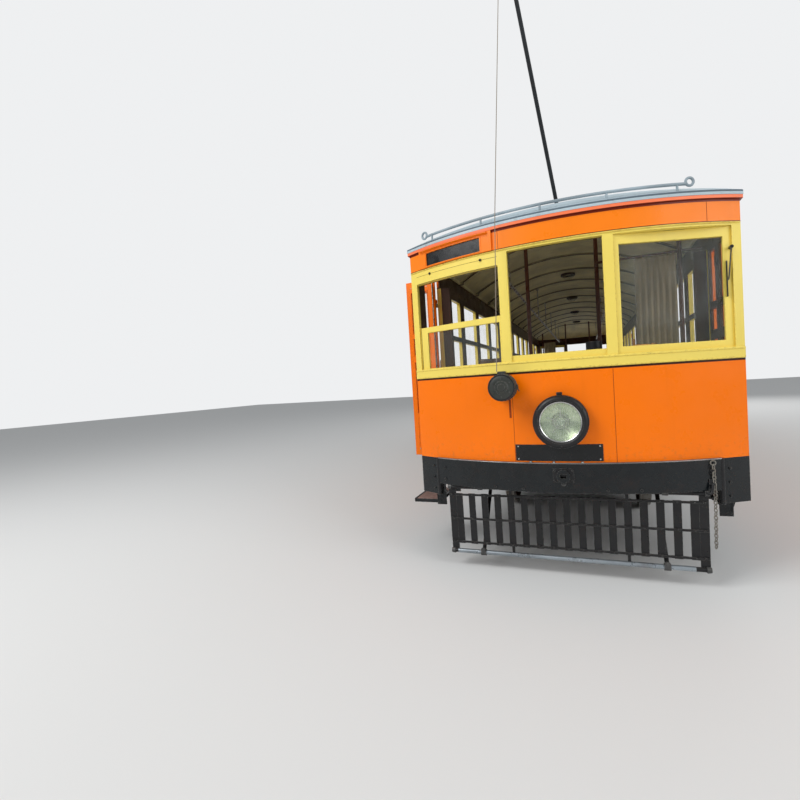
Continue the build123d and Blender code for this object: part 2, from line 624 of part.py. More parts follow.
def bowed_bar(half, z_end, z_middle, thick, x):
    """Bar that sags from its ends to its middle, given by the heights of its lower face."""
    rim = [
        ThreePointArc((-half, z_end), (0, z_middle), (half, z_end)),
        Line((half, z_end), (half, z_end + thick)),
        ThreePointArc((half, z_end + thick), (0, z_middle + thick), (-half, z_end + thick)),
        Line((-half, z_end + thick), (-half, z_end)),
    ]
    return side_plate(rim, x)


def pedestal(x, middle):
    """Pair of jaws with flared roots and the tie under them, round one axle box."""
    low = BOX_Z[0] - JAW_DROP
    root = FRAME_TOP - FRAME_BAR
    near, far = middle - BOX_HALF - JAW, middle + BOX_HALF + JAW
    rim = [
        ThreePointArc((near - JAW, root + 5), (near - JAW / 3, root - JAW / 3), (near, root - 1.2 * JAW)),
        Line((near, root - 1.2 * JAW), (near, low)),
        Line((near, low), (far, low)),
        Line((far, low), (far, root - 1.2 * JAW)),
        ThreePointArc((far, root - 1.2 * JAW), (far + JAW / 3, root - JAW / 3), (far + JAW, root + 5)),
        Line((far + JAW, root + 5), (near - JAW, root + 5)),
    ]
    gap = block((x[0] - 99, x[1] + 99), (middle - BOX_HALF, middle + BOX_HALF), (low + JAW_DROP / 2, root))
    return side_plate(rim, x) - gap


def top_bar(x):
    """The side frame's upper bar, which droops at both ends."""
    top, root = FRAME_TOP, FRAME_TOP - FRAME_BAR
    bend, tail = FRAME_HALF - 190, FRAME_HALF - 55
    low = root - 35
    rim = [
        Line((-bend, top), (bend, top)),
        ThreePointArc((bend, top), (FRAME_HALF - 48, top - 30), (FRAME_HALF, low)),
        Line((FRAME_HALF, low), (tail, low)),
        ThreePointArc((tail, low), (tail - 36, root - 9), (bend, root)),
        Line((bend, root), (-bend, root)),
        ThreePointArc((-bend, root), (36 - tail, root - 9), (-tail, low)),
        Line((-tail, low), (-FRAME_HALF, low)),
        ThreePointArc((-FRAME_HALF, low), (48 - FRAME_HALF, top - 30), (-bend, top)),
    ]
    return side_plate(rim, x)


def coil(x, y, z):
    """Coil spring between two heights, its turns as ridges."""
    outer, inner, turns = COIL
    rise = (z[1] - z[0]) / (2 * turns)
    ridge = [(0, z[0]), (inner, z[0])]
    for step in range(turns):
        ridge.append((outer, z[0] + (2 * step + 1) * rise))
        ridge.append((inner, z[0] + (2 * step + 2) * rise))
    ridge.append((0, z[1]))
    outline = Plane.XZ * Face(Wire([*Polyline(*ridge, close=True).edges()]))
    return Pos(x, y, 0) * revolve(outline, Axis.Z, 360)


def truck_side(side):
    """Side frame with its springs and the boxes of its two axles."""
    x = (side * (FRAME_X - FRAME_THICK / 2), side * (FRAME_X + FRAME_THICK / 2))
    root = FRAME_TOP - FRAME_BAR
    inner_jaw = WHEELBASE / 2 - BOX_HALF - JAW
    bar_end, bar_middle, bar_thick = LOWER_BAR
    half, wide, thick = LEAF_SPRING
    leaf_x = (side * FRAME_X - wide / 2, side * FRAME_X + wide / 2)
    pieces = [top_bar(x), bowed_bar(inner_jaw + 10, bar_end, bar_middle, bar_thick, x)]
    low = bar_middle + bar_thick + thick
    for index in range(SPRING_LEAVES):
        share = (index + 1) / SPRING_LEAVES
        z = low + index * (thick + 2)
        pieces.append(bowed_bar(half * share, z + SPRING_BOW * share * share, z, thick, leaf_x))
    buckle_x = (side * FRAME_X - wide / 2 - 8, side * FRAME_X + wide / 2 + 8)
    pieces.append(block(buckle_x, (-32, 32), (bar_middle + bar_thick - 4, z + thick + 8)))
    for end in (-1, 1):
        hanger_y = (end * (half - 26), end * (half - 4))
        pieces.append(block(x, hanger_y, (z + SPRING_BOW - 8, root + 5)))
        middle = end * WHEELBASE / 2
        pieces.append(pedestal(x, middle))
        box_x = (side * (FRAME_X - BOX_X[0]), side * (FRAME_X + BOX_X[1]))
        pieces.append(block(box_x, (middle - BOX_HALF - 2, middle + BOX_HALF + 2), BOX_Z))
        pieces.append(coil(side * FRAME_X, middle, (BOX_Z[1] - 5, root + 5)))
        pieces.append(brake_shoe(side, middle, end))
        shoe_y = middle - end * (TREAD_RADIUS + SHOE_CLEARANCE + SHOE[0])
        arm_x = (side * (SHOE_X[0] + 24), side * (SHOE_X[1] - 24))
        arm_z = TREAD_RADIUS + FLANGE
        pieces.append(block(arm_x, (shoe_y - 10, shoe_y + 10), (arm_z, root + 45)))
        pieces.append(block((arm_x[0], x[0]), (shoe_y - 10, shoe_y + 10), (root + 10, root + 45)))
    return pieces


def brake_shoe(side, middle, end):
    """Shoe that bears on the truck's side of the wheel's tread."""
    thick, high = SHOE
    inner = TREAD_RADIUS + SHOE_CLEARANCE
    axle_z = TREAD_RADIUS + FLANGE
    x = (side * SHOE_X[0], side * SHOE_X[1])
    ends = [(x[0], middle, axle_z), (x[1], middle, axle_z)]
    reach = (middle - end * inner * 0.9, middle - end * (inner + thick + 1))
    ring = rod(*ends, inner + thick) - rod(*ends, inner)
    return ring & block(x, reach, (axle_z - high / 2, axle_z + high / 2))


def build_trucks():
    axle_z = TREAD_RADIUS + FLANGE
    half_wide, low, high = TRANSOM
    radius, half_can, can_z = MOTOR
    for index, y in ((1, -TRUCK_CENTRE), (2, TRUCK_CENTRE)):
        rim = Polyline(
            (-FRAME_X, high),
            (FRAME_X, high),
            (FRAME_X, low + TRANSOM_BELLY),
            (0.6 * FRAME_X, low + TRANSOM_BELLY),
            (0.4 * FRAME_X, low),
            (-0.4 * FRAME_X, low),
            (-0.6 * FRAME_X, low + TRANSOM_BELLY),
            (-FRAME_X, low + TRANSOM_BELLY),
            close=True,
        )
        outline = Plane.XZ * Face(Wire([*rim.edges()]))
        transom = Pos(0, -half_wide, 0) * extrude(outline, 2 * half_wide, (0, 1, 0))
        plate = Pos(0, 0, high - 10) * Cylinder(CENTRE_PLATE, CENTRE_PLATE_Z - 0.5 - high + 10, align=BASE)
        frame = joined([transom, plate, *truck_side(-1), *truck_side(1)])
        frame -= Pos(0, 0, high - 100) * Cylinder(KINGPIN + 1.5, 300, align=BASE)
        motors = []
        for letter, end in (("a", -1), ("b", 1)):
            middle = end * WHEELBASE / 2
            tip = FRAME_X + BOX_X[1]
            frame -= rod((-tip, middle, axle_z), (tip, middle, axle_z), JOURNAL_RADIUS + JOURNAL_CLEARANCE)
            for side in (-1, 1):
                lid_x = (side * (tip - 12), side * (tip + 30))
                frame += block(lid_x, (middle - 70, middle + 70), (BOX_Z[0] + 20, BOX_Z[1] - 30))
            centre = middle - end * MOTOR_SET
            can = rod((-half_can, centre, can_z), (half_can, centre, can_z), radius)
            nose = block((-120, 120), (end * half_wide, centre), (low + 50, high - 60))
            motors.append(Pos(0, y, 0) * joined([can, nose]))
            node(f"axle_{index}{letter}", Pos(0, y + middle, axle_z) * wheelset())
        node(f"truck_{index}", Pos(0, y, 0) * frame)
        node(f"motors_{index}", *motors)


def wheelset():
    """Axle with its two wheels, about the X axis."""
    back = GAUGE / 2 - 37.5
    tread_out = back + 122
    flange_radius = TREAD_RADIUS + FLANGE
    rim_in = TREAD_RADIUS - 48
    tip = FRAME_X + BOX_X[1] - 15
    half = [
        (0, 0),
        (0, AXLE_RADIUS),
        (back - 40, AXLE_RADIUS),
        (back - 40, AXLE_RADIUS + 45),
        (back + 40, AXLE_RADIUS + 45),
        (back + 48, rim_in),
        (back, rim_in),
        (back, flange_radius - 8),
        (back + 8, flange_radius),
        (back + 20, flange_radius),
        (back + 36, TREAD_RADIUS),
        (tread_out - 8, TREAD_RADIUS - 4),
        (tread_out, TREAD_RADIUS - 10),
        (tread_out, rim_in),
        (back + 72, rim_in),
        (back + 66, AXLE_RADIUS + 45),
        (back + 118, AXLE_RADIUS + 40),
        (back + 118, AXLE_RADIUS),
        (back + 150, AXLE_RADIUS),
        (back + 158, JOURNAL_RADIUS),
        (tip, JOURNAL_RADIUS),
        (tip, 0),
    ]
    outline = Plane.XZ * Face(Wire([*Polyline(*half, close=True).edges()]))
    right = revolve(outline, Axis.X, 360)
    return right + mirror(right, Plane.YZ)


def hinge(pin, faces, y_side, out):
    """Fixed and moving halves of a door hinge on an upright pin.

    faces gives the x of the face each half is screwed to, y_side the way in which the moving one
    lies from the pin, and out the way from those faces to the pin.
    """
    x, y = pin
    fixed, moving = [], []
    for low in HINGE_HEIGHTS:
        fixed_z = (low - HINGE_KNUCKLE - 1, low - 1)
        moving_z = (low, low + HINGE_KNUCKLE)
        knuckle = rod((x, y, fixed_z[0]), (x, y, fixed_z[1]), HINGE_RADIUS)
        spindle = rod((x, y, fixed_z[0]), (x, y, moving_z[1] + 6), HINGE_PIN)
        strap = block((faces[0], x - out * HINGE_PIN), (y - y_side * HINGE_STRAP, y), fixed_z)
        fixed.append(joined([knuckle, spindle, strap]))
        ring = rod((x, y, moving_z[0]), (x, y, moving_z[1]), HINGE_RADIUS)
        strap = block((faces[1], x - out * HINGE_PIN), (y, y + y_side * HINGE_STRAP), moving_z)
        bore = rod((x, y, moving_z[0] - 1), (x, y, moving_z[1] + 1), HINGE_PIN + PIN_CLEARANCE)
        moving.append(joined([ring, strap]) - bore)
    return fixed, moving


def door(side, end):
    """Closed leaves of one door, the hinge halves on the car, and its two hinge pins."""
    leaf_width = (DOORWAY_LENGTH - 2 * LEAF_GAP - LEAF_NOSE_GAP) / 2
    height = (PLATFORM_TOP + DOOR_SILL_GAP, DOOR_HEAD - DOOR_SILL_GAP)
    outer = HALF_WIDTH - LEAF_SET
    inner = outer - LEAF_THICK
    starts = (SIDE_HALF + LEAF_GAP, SIDE_HALF + 2 * LEAF_GAP + leaf_width)
    leaves = []
    for start in starts:
        leaf = block((side * inner, side * outer), (end * start, end * (start + leaf_width)), height)
        for z in LEAF_PANES:
            hole_y = (end * (start + LEAF_STILE), end * (start + leaf_width - LEAF_STILE))
            leaf -= block((side * (inner - 1), side * (outer + 1)), hole_y, z)
        leaves.append(leaf)
    swing_pin = (side * (HALF_WIDTH + HINGE_OFFSET), end * (SIDE_HALF + LEAF_GAP / 2))
    fold_pin = (side * (inner - HINGE_OFFSET), end * (starts[1] - LEAF_GAP / 2))
    on_car, on_rear = hinge(swing_pin, (side * (HALF_WIDTH + REST_GAP), side * outer), end, side)
    rear_fold, front_fold = hinge(fold_pin, (side * inner, side * inner), end, -side)
    rear = joined([leaves[0], *on_rear, *rear_fold])
    front = joined([leaves[1], *front_fold])
    return rear, front, on_car, swing_pin, fold_pin


def build_doors_and_steps():
    hinges = []
    rod_z = STEP_PIVOT_Z - STEP_THICK / 2
    for number, end in ((1, -1), (2, 1)):
        for letter, side in (("left", -1), ("right", 1)):
            name = f"{number}_{letter}"
            rear, front, on_car, swing_pin, fold_pin = door(side, end)
            hinges.extend(on_car)
            board = block(
                (side * STEP_PIVOT_X, side * (STEP_PIVOT_X + STEP_DEPTH)),
                (end * (SIDE_HALF + STEP_END_GAP), end * (SIDE_HALF + DOORWAY_LENGTH - STEP_END_GAP)),
                (STEP_PIVOT_Z - STEP_THICK, STEP_PIVOT_Z),
            )
            spindle = rod(
                (side * STEP_PIVOT_X, end * (SIDE_HALF + STEP_ROD_GAP), rod_z),
                (side * STEP_PIVOT_X, end * (SIDE_HALF + DOORWAY_LENGTH - STEP_ROD_GAP), rod_z),
                STEP_ROD,
            )
            step = joined([board, spindle])
            if name in DOORS_OPEN:
                opening = -side * end * DOOR_ANGLE
                swing_axis = Axis((*swing_pin, 0), (0, 0, 1))
                fold_axis = Axis((*fold_pin, 0), (0, 0, 1))
                front = front.rotate(fold_axis, -2 * opening).rotate(swing_axis, opening)
                rear = rear.rotate(swing_axis, opening)
            else:
                step = step.rotate(Axis((side * STEP_PIVOT_X, 0, rod_z), (0, 1, 0)), -side * STEP_ANGLE)
            node(f"door_{name}_rear", rear)
            node(f"door_{name}_front", front)
            node(f"step_{name}", step)
    node("door_hinges", *hinges)


def build_poles():
    for index, end, raised, swing in ((1, -1, POLE_RAISED, POLE_SWING), (2, 1, 0.0, 0.0)):
        y = end * POLE_BASE_Y
        azimuth = Rot(0, 0, -swing) * Rot(0, 0, 180 if end > 0 else 0)
        seat = Pos(0, y, 0) * azimuth
        plate_z = CROWN + 64
        turntable = Pos(0, 0, plate_z) * Cylinder(150, 40, align=BASE)
        post = Pos(0, 0, plate_z + 30) * Cylinder(60, POLE_PIVOT_Z - plate_z - 80, align=BASE)
        cheeks = [
            block((s * 46, s * 66), (-60, 60), (plate_z + 60, POLE_PIVOT_Z + 45)) for s in (-1, 1)
        ]
        springs = [
            rod((s * 105, 80, POLE_PIVOT_Z - 70), (s * 105, 640, POLE_PIVOT_Z - 90), 38) for s in (-1, 1)
        ]
        crossheads = [
            block((-140, 140), (50, 90), (POLE_PIVOT_Z - 110, POLE_PIVOT_Z - 50)),
            block((-140, 140), (630, 670), (POLE_PIVOT_Z - 120, POLE_PIVOT_Z - 60)),
        ]
        bridge = block((-66, 66), (-60, 60), (POLE_PIVOT_Z - 110, POLE_PIVOT_Z - 60))
        rail = block((-30, 30), (40, 640), (POLE_PIVOT_Z - 118, POLE_PIVOT_Z - 100))
        pin = rod((-80, 0, POLE_PIVOT_Z), (80, 0, POLE_PIVOT_Z), 16)
        base = joined([turntable, post, *cheeks, *springs, *crossheads, bridge, rail, pin])
        node(f"trolley_base_{index}", seat * base)
        tip = -POLE_LENGTH
        hub = rod((-38, 0, 0), (38, 0, 0), 42) - rod((-90, 0, 0), (90, 0, 0), 16 + PIN_CLEARANCE)
        clamp = rod((0, -36, 0), (0, -520, 0), 34)
        tube_plane = Plane(origin=(0, -500, 0), z_dir=(0, -1, 0))
        tube = tube_plane * Cone(27, 19, POLE_LENGTH - 700, align=BASE)
        tube -= tube_plane * Cone(27 - POLE_WALL, 19 - POLE_WALL, POLE_LENGTH - 700, align=BASE)
        fork = joined([
            rod((0, tip + 235, 0), (0, tip + 150, 0), 24),
            *[block((s * 16, s * 24), (tip + 165, tip), (-20, 24)) for s in (-1, 1)],
            block((-24, 24), (tip + 165, tip + 150), (-20, 24)),
        ])
        wheel_at = tip + 50
        wheel_pin = rod((-26, wheel_at, 18), (26, wheel_at, 18), 8)
        pole = joined([hub, clamp, tube, fork, wheel_pin])
        wheel = trolley_wheel(wheel_at, 18)
        lift = Pos(0, 0, POLE_PIVOT_Z) * Rot(-raised, 0, 0)
        node(f"pole_{index}", seat * lift * pole)
        node(f"trolley_wheel_{index}", seat * lift * wheel)


def trolley_wheel(y, z):
    """Grooved wheel that turns on the pin of the fork."""
    bore = 8 + PIN_CLEARANCE
    half = [(-14, bore), (-14, 48), (-8, 54), (-3, 36), (3, 36), (8, 54), (14, 48), (14, bore)]
    outline = Plane.XZ * Face(Wire([*Polyline(*half, close=True).edges()]))
    return Pos(0, y, z) * revolve(outline, Axis.X, 360)


def build_roof_fittings():
    boards = []
    board_z = (CROWN + 40, CROWN + 64)
    for x in (-150, 0, 150):
        boards.append(block((x - 65, x + 65), (-3200, 3200), board_z))
    for step in range(-4, 5):
        y = step * 780
        cleat = block((-230, 230), (y - 30, y + 30), (CROWN - 20, CROWN + 40))
        boards.append(cleat - vault(0, CORNICE))
    node("roof_boards", joined(boards))
    rails = []
    edge = END_RADIUS + EAVE_OVERHANG
    radius = edge - RAIL_INSET
    surface = CROWN - HOOD_RADIUS + sqrt(HOOD_RADIUS**2 - (radius - HOOD_CENTRE) ** 2)
    rail_z = surface + RAIL_LIFT
    inset = EAVE_OVERHANG - RAIL_INSET
    low, high = RAIL_X
    centre_y = END_RADIUS - HALF_LENGTH
    hoop = Pos(0, centre_y, rail_z) * Torus(radius, RAIL_PIPE)
    reach_z = (rail_z - 2 * RAIL_PIPE, rail_z + 2 * RAIL_PIPE)
    pieces = [hoop & block((low, high), (centre_y - 2 * radius, centre_y), reach_z)]
    for x, out in ((low, -1), (high, 1)):
        heading = degrees(atan2(x, sqrt(radius**2 - x * x)))
        eye = Pos(x, end_y(x, inset), rail_z) * Rot(0, 0, heading)
        eye *= Pos(out * (RAIL_EYE - 4), 0, RAIL_EYE / 2) * Rot(90, 0, 0)
        pieces.append(eye * Torus(RAIL_EYE, RAIL_PIPE - 2))
    for index in range(RAIL_BRACKETS):
        x = low + 60 + index * (high - low - 120) / (RAIL_BRACKETS - 1)
        y = end_y(x, inset)
        pieces.append(rod((x, y, rail_z), (x, y, surface - 30), 8) - vault(0, CORNICE))
    rails.append(joined(pieces))
    node("roof_rails", *rails, *turned(rails))


def build_inside():
    """Seats in rows of two on each side of the aisle."""
    wall = HALF_WIDTH - SIDE_WALL
    seat_top = FLOOR_TOP + SEAT_HEIGHT
    pitch = 2 * SIDE_HALF / WINDOWS
    depth, thick = CUSHION
    back_front, back_rear, back_low, back_high = SEAT_BACK
    leg_wide, leg_deep = SEAT_LEG
    under = (seat_top - thick - 40, seat_top - thick - REST_GAP)
    frames, cushions = [], []
    for side in (-1, 1):
        x = (side * AISLE_HALF, side * (wall - SEAT_GAP))
        across = (x[0] + side * 20, x[1] - side * 8)
        for row in range(1, WINDOWS - 1):
            y = -SIDE_HALF + (row + 0.5) * pitch
            back_y = (y + back_front, y + back_rear)
            cushions.append(block(x, (y - depth / 2, y + depth / 2), (seat_top - thick, seat_top)))
            cushions.append(block(x, back_y, (seat_top + back_low, seat_top + back_high)))
            leg_z = (FLOOR_TOP + REST_GAP, under[0] + 10)
            leg_y = (y - leg_deep / 2, y + leg_deep / 2)
            frame = [
                block(across, (y - 180, back_y[1]), under),
                block(across, back_y, (under[0], seat_top + back_low - REST_GAP)),
            ]
            for near in (across[0] + side * leg_wide, across[1] - side * 2 * leg_wide):
                frame.append(block((near, near + side * leg_wide), leg_y, leg_z))
            frames.append(joined(frame))
    node("seat_frames", *frames)
    node("seat_cushions", *cushions)


def under_ceiling(piece):
    """The part of an upright piece that lies below the ceiling."""
    return piece & vault(ROOF_SHEET + CEILING_GAP + CEILING_SHEET + REST_GAP, PLATFORM_TOP)


def build_platform_gear():
    """Stanchions, controllers, driver's stools and curtains of both platforms."""
    rail, rail_z = CURTAIN_RAIL
    nose = -HALF_LENGTH
    foot = FLOOR_TOP + REST_GAP
    post_x = POST_IN - 7
    posts = []
    for x, back in ((-post_x, STANCHION_BACK), (post_x, STANCHION_BACK), (DOOR_POST_X, CURTAIN_BACK)):
        post = rod((x, nose + back, foot), (x, nose + back, CROWN), STANCHION)
        flange = rod((x, nose + back, foot), (x, nose + back, foot + 12), 2.4 * STANCHION)
        posts.append(joined([under_ceiling(post), flange]))
    wall = HALF_WIDTH - SIDE_WALL
    corner = (post_x, nose + CURTAIN_BACK, rail_z)
    rails = rod((wall, corner[1], rail_z), corner, rail)
    rails += rod(corner, (post_x, nose + STANCHION_BACK, rail_z), rail)
    posts = [posts[0], joined([posts[1], rails, posts[2]])]
    node("stanchions", *posts, *turned(posts))

    floor = PLATFORM_TOP + REST_GAP
    y = nose + GEAR_BACK
    across, along, high = CONTROLLER
    middle = y + along / 2
    top = floor + high
    case = block((CONTROLLER_X - across / 2, CONTROLLER_X + across / 2), (y, y + along), (floor, top))
    cap = rod((CONTROLLER_X, middle, top - 10), (CONTROLLER_X, middle, top + 50), 0.4 * across)
    handle_x = (CONTROLLER_X - 20, CONTROLLER_X + 20)
    handle = block(handle_x, (middle, middle + 0.8 * along), (top + 40, top + 65))
    stands = [joined([case, cap, handle])]
    column = rod((VALVE_X, y, floor), (VALVE_X, y, top + 80), 34)
    valve = rod((VALVE_X, y, top), (VALVE_X, y, top + 130), 62)
    lever = block((VALVE_X - 20, VALVE_X + 20), (y, y + 0.9 * along), (top + 115, top + 135))
    flange = rod((VALVE_X, y, floor), (VALVE_X, y, floor + 20), 90)
    stands.append(joined([column, valve, lever, flange]))
    stool_x, back, seat = STOOL
    stool_y = nose + back
    # columns: foot and top above the floor, radius
    table = ((0.0, seat, 30.0), (seat - 60, seat, 170.0), (0.0, 15.0, 130.0))
    stool = [rod((stool_x, stool_y, floor + z0), (stool_x, stool_y, floor + z1), r) for z0, z1, r in table]
    stands.append(joined(stool))
    node("driver_stands", *stands, *turned(stands))

    hang_y = nose + CURTAIN_BACK
    faces = (hang_y - CURTAIN_THICK / 2, hang_y + CURTAIN_THICK / 2)
    curtain = block(CURTAIN_X, faces, (CURTAIN_BOTTOM, rail_z - rail - REST_GAP))
    node("curtains", curtain, *turned([curtain]))


def build_underfloor():
    """Air tanks, compressor and resistor grids hung below the saloon floor."""
    under = FLOOR_TOP - FLOOR_THICK - REST_GAP
    radius, half, tank_z = TANK
    gear = []
    for y in TANK_Y:
        tank = rod((TANK_X, y - half, tank_z), (TANK_X, y + half, tank_z), radius)
        straps = []
        for at in (-0.7 * half, 0.7 * half):
            straps.append(block((TANK_X - 30, TANK_X + 30), (y + at - 20, y + at + 20), (tank_z, under)))
        gear.append(joined([tank, *straps]))
    half_x, half_y, low, high = COMPRESSOR
    case = block((-half_x, half_x), (-half_y, half_y), (low, high))
    head = rod((0, -half_y / 3, high - 20), (0, -half_y / 3, high + 70), half_x / 3)
    hanger = block((-half_x / 3, half_x / 3), (-0.9 * half_y, 0.9 * half_y), (high - 20, under))
    gear.append(joined([case, head, hanger]))
    node("air_gear", *gear)
    slot = (GRID_X[1] - GRID_X[0]) / (2 * GRID_SLOTS + 1)
    grids = []
    for y in GRID_Y:
        grid = block(GRID_X, (y - GRID_HALF, y + GRID_HALF), GRID_Z)
        for index in range(GRID_SLOTS):
            x = GRID_X[0] + (2 * index + 1) * slot
            slot_y = (y - GRID_HALF + 20, y + GRID_HALF - 20)
            grid -= block((x, x + slot), slot_y, (GRID_Z[0] - 1, GRID_Z[1] - 20))
        hanger_x = (GRID_X[0] + 40, GRID_X[1] - 40)
        hangers = []
        for at in (50 - GRID_HALF, GRID_HALF - 50):
            hangers.append(block(hanger_x, (y + at - 20, y + at + 20), (GRID_Z[1] - 10, under)))
        grids.append(joined([grid, *hangers]))
    node("resistor_boxes", *grids)


BASE = (Align.CENTER, Align.CENTER, Align.MIN)

build_roof()
build_letterboard()
build_dashes()
build_end_windows()
build_sides()
build_floor()
build_underframe()
build_bumpers()
build_step_wells()
build_fenders()
build_front_fittings()
build_trucks()
build_doors_and_steps()
build_poles()
build_roof_fittings()
build_inside()
build_platform_gear()
build_underfloor()

os.makedirs("parts", exist_ok=True)
for name, shape in NODES.items():
    export_step(shape, f"parts/{name}.step")
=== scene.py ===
import logging
import math
from dataclasses import dataclass
from enum import Enum
from typing import Iterable, Optional, Sequence

import bmesh
import bpy
from mathutils import Matrix, Vector


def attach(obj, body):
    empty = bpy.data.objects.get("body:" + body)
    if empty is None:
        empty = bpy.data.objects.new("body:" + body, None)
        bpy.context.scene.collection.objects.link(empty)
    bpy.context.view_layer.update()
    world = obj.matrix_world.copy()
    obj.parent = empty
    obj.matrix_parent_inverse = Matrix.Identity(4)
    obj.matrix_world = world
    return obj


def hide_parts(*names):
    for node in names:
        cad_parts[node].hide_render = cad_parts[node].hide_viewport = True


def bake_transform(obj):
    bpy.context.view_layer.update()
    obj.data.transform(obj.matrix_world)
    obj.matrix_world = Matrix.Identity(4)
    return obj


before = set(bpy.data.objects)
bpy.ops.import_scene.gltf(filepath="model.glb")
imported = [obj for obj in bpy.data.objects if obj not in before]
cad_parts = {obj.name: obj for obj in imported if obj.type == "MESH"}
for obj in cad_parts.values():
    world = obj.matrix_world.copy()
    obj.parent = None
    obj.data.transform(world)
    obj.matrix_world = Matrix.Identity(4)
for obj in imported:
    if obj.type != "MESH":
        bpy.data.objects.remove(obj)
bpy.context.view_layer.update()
LOG = logging.getLogger("streetcar")

Point = Sequence[float]
Colour = tuple[float, float, float]
Socket = bpy.types.NodeSocket

# Body in plan and height, in metres, as in the part's source
HALF_LENGTH = 6.270
HALF_WIDTH = 1.245
END_RADIUS = 2.399
ARC_CENTRE_Y = END_RADIUS - HALF_LENGTH
CORNER_Y = -5.9217
SIDE_HALF = 5.1437
DASH_BOTTOM = 0.935
BELT = 1.640
SILL_TOP = 1.720
BAND_TOP = 2.596
EAVE_TOP = 2.813
CROWN = 3.200
ARCH_RADIUS = (1.265 ** 2 + (CROWN - EAVE_TOP) ** 2) / (2 * (CROWN - EAVE_TOP))
ROOF_HALF = 1.265
WINDOWS = 12
SIDE_POST = 0.084
WINDOW_PITCH = 2 * SIDE_HALF / WINDOWS
PANES = ((1.764, 2.070), (2.122, 2.540))
PANE_EDGE = SIDE_POST / 2 + 0.038

# Doors and steps
LEAF_WIDTH = 0.2885
LEAF_OUTER = 1.241
LEAF_INNER = 1.207
LEAF_STARTS = (SIDE_HALF + 0.005, SIDE_HALF + 0.010 + LEAF_WIDTH)
LEAF_STILE = 0.055
LEAF_PANES = ((1.290, 1.820), (1.900, 2.075), (2.135, 2.560))
DOOR_ANGLE = math.radians(85.0)
DOORS_OPEN = ("1_left", "2_right")
STEP_ANGLE = math.radians(72.0)
STEP_X = 1.165
STEP_Z = 0.470
STEP_DEPTH = 0.262

# Trucks and poles
TRUCK_CENTRE = 3.100
HALF_BASE = 0.800
AXLE_Z = 0.355
POLE_Y = 2.180
POLE_Z = 3.440
POLE_UP = math.radians(34.0)
POLE_SWING = math.radians(5.77)
ROPE_EYE = (0.0, -4.060, -0.028)

# Ways, turns and small measures that many pieces share
OUT = (0, -1, 0)
UP = (0, 0, 1)
END_TURNS = ((1, Matrix.Identity(4)), (2, Matrix.Rotation(math.pi, 4, "Z")))
FULL_TURN = 2 * math.pi
MERGE = 1e-6
INTO_WALL = 0.002


def srgb(red: float, green: float, blue: float) -> Colour:
    """Linear colour of a screen colour.

    Args:
        red: Red, 0 to 255.
        green: Green, 0 to 255.
        blue: Blue, 0 to 255.

    Returns:
        The three linear values, 0 to 1.
    """
    values = []
    for value in (red, green, blue):
        v = value / 255.0
        values.append(v / 12.92 if v <= 0.04045 else ((v + 0.055) / 1.055) ** 2.4)
    return values[0], values[1], values[2]


# Colours that more than one finish uses
BODY_ORANGE = srgb(255, 121, 0)
BODY_YELLOW = srgb(243, 219, 106)
PALE_WOOD = srgb(150, 120, 60)
DARK_WOOD = srgb(66, 40, 25)
WALL_BROWN = srgb(70, 42, 26)


def shade(colour: Colour, factor: float) -> Colour:
    """Colour made lighter or darker by a factor."""
    return tuple(min(1.0, max(0.0, c * factor)) for c in colour)


def aimed(way: Point) -> Matrix:
    """Turn that takes the Z axis to another way."""
    return Vector(UP).rotation_difference(Vector(way)).to_matrix().to_4x4()


def linked(name: str, data: bpy.types.ID) -> bpy.types.Object:
    """Adds an object to the scene.

    Args:
        name: Its name.
        data: Its mesh, curve, camera or light.

    Returns:
        The new object.
    """
    holder = bpy.data.objects.new(name, data)
    bpy.context.scene.collection.objects.link(holder)
    return holder


def applied(holder: bpy.types.Object) -> bpy.types.Mesh:
    """Takes the mesh of an object with its modifiers applied and removes the object.

    Args:
        holder: The object.

    Returns:
        Its mesh.
    """
    made = bpy.data.meshes.new_from_object(holder.evaluated_get(bpy.context.evaluated_depsgraph_get()))
    bpy.data.objects.remove(holder)
    return made


def end_y(x: float, proud: float = 0.0) -> float:
    """Y of end 1's curved face at x, or of a face that stands proud of it."""
    return ARC_CENTRE_Y - math.sqrt((END_RADIUS + proud) ** 2 - x * x)


def sash_y(x: float, low: float, high: float) -> float:
    """Y at x of the front face of a flat sash between two posts of end 1."""
    y0, y1 = end_y(low, -0.014), end_y(high, -0.014)
    return y0 + (y1 - y0) * (x - low) / (high - low)


def section(back: float, front: float, low: float, high: float) -> list:
    """Section of an upright strip, as pairs of how proud a corner is and its height."""
    return [(front, low), (front, high), (back, high), (back, low)]


def handle_route(side: int, y: float, reach: Point, ends: Point, bend: float) -> list:
    """Route of an upright handle on one side of the car.

    Args:
        side: -1 for the left of the car, 1 for the right.
        y: Its place along the car.
        reach: Distance from the car's middle to its feet and to its grip.
        ends: Its lowest and highest z.
        bend: Length of its bends.

    Returns:
        The control points.
    """
    (foot, grip), (low, high) = reach, ends
    points = ((foot, low), (grip, low), (grip, low + bend), (grip, high - bend), (grip, high), (foot, high))
    return [(side * x, y, z) for x, z in points]


def about(centre: Point, angle: float, axis: str = "Z") -> Matrix:
    """Turn by an angle in radians about an axis through a point."""
    there = Matrix.Translation(centre)
    return there @ Matrix.Rotation(angle, 4, axis) @ there.inverted()


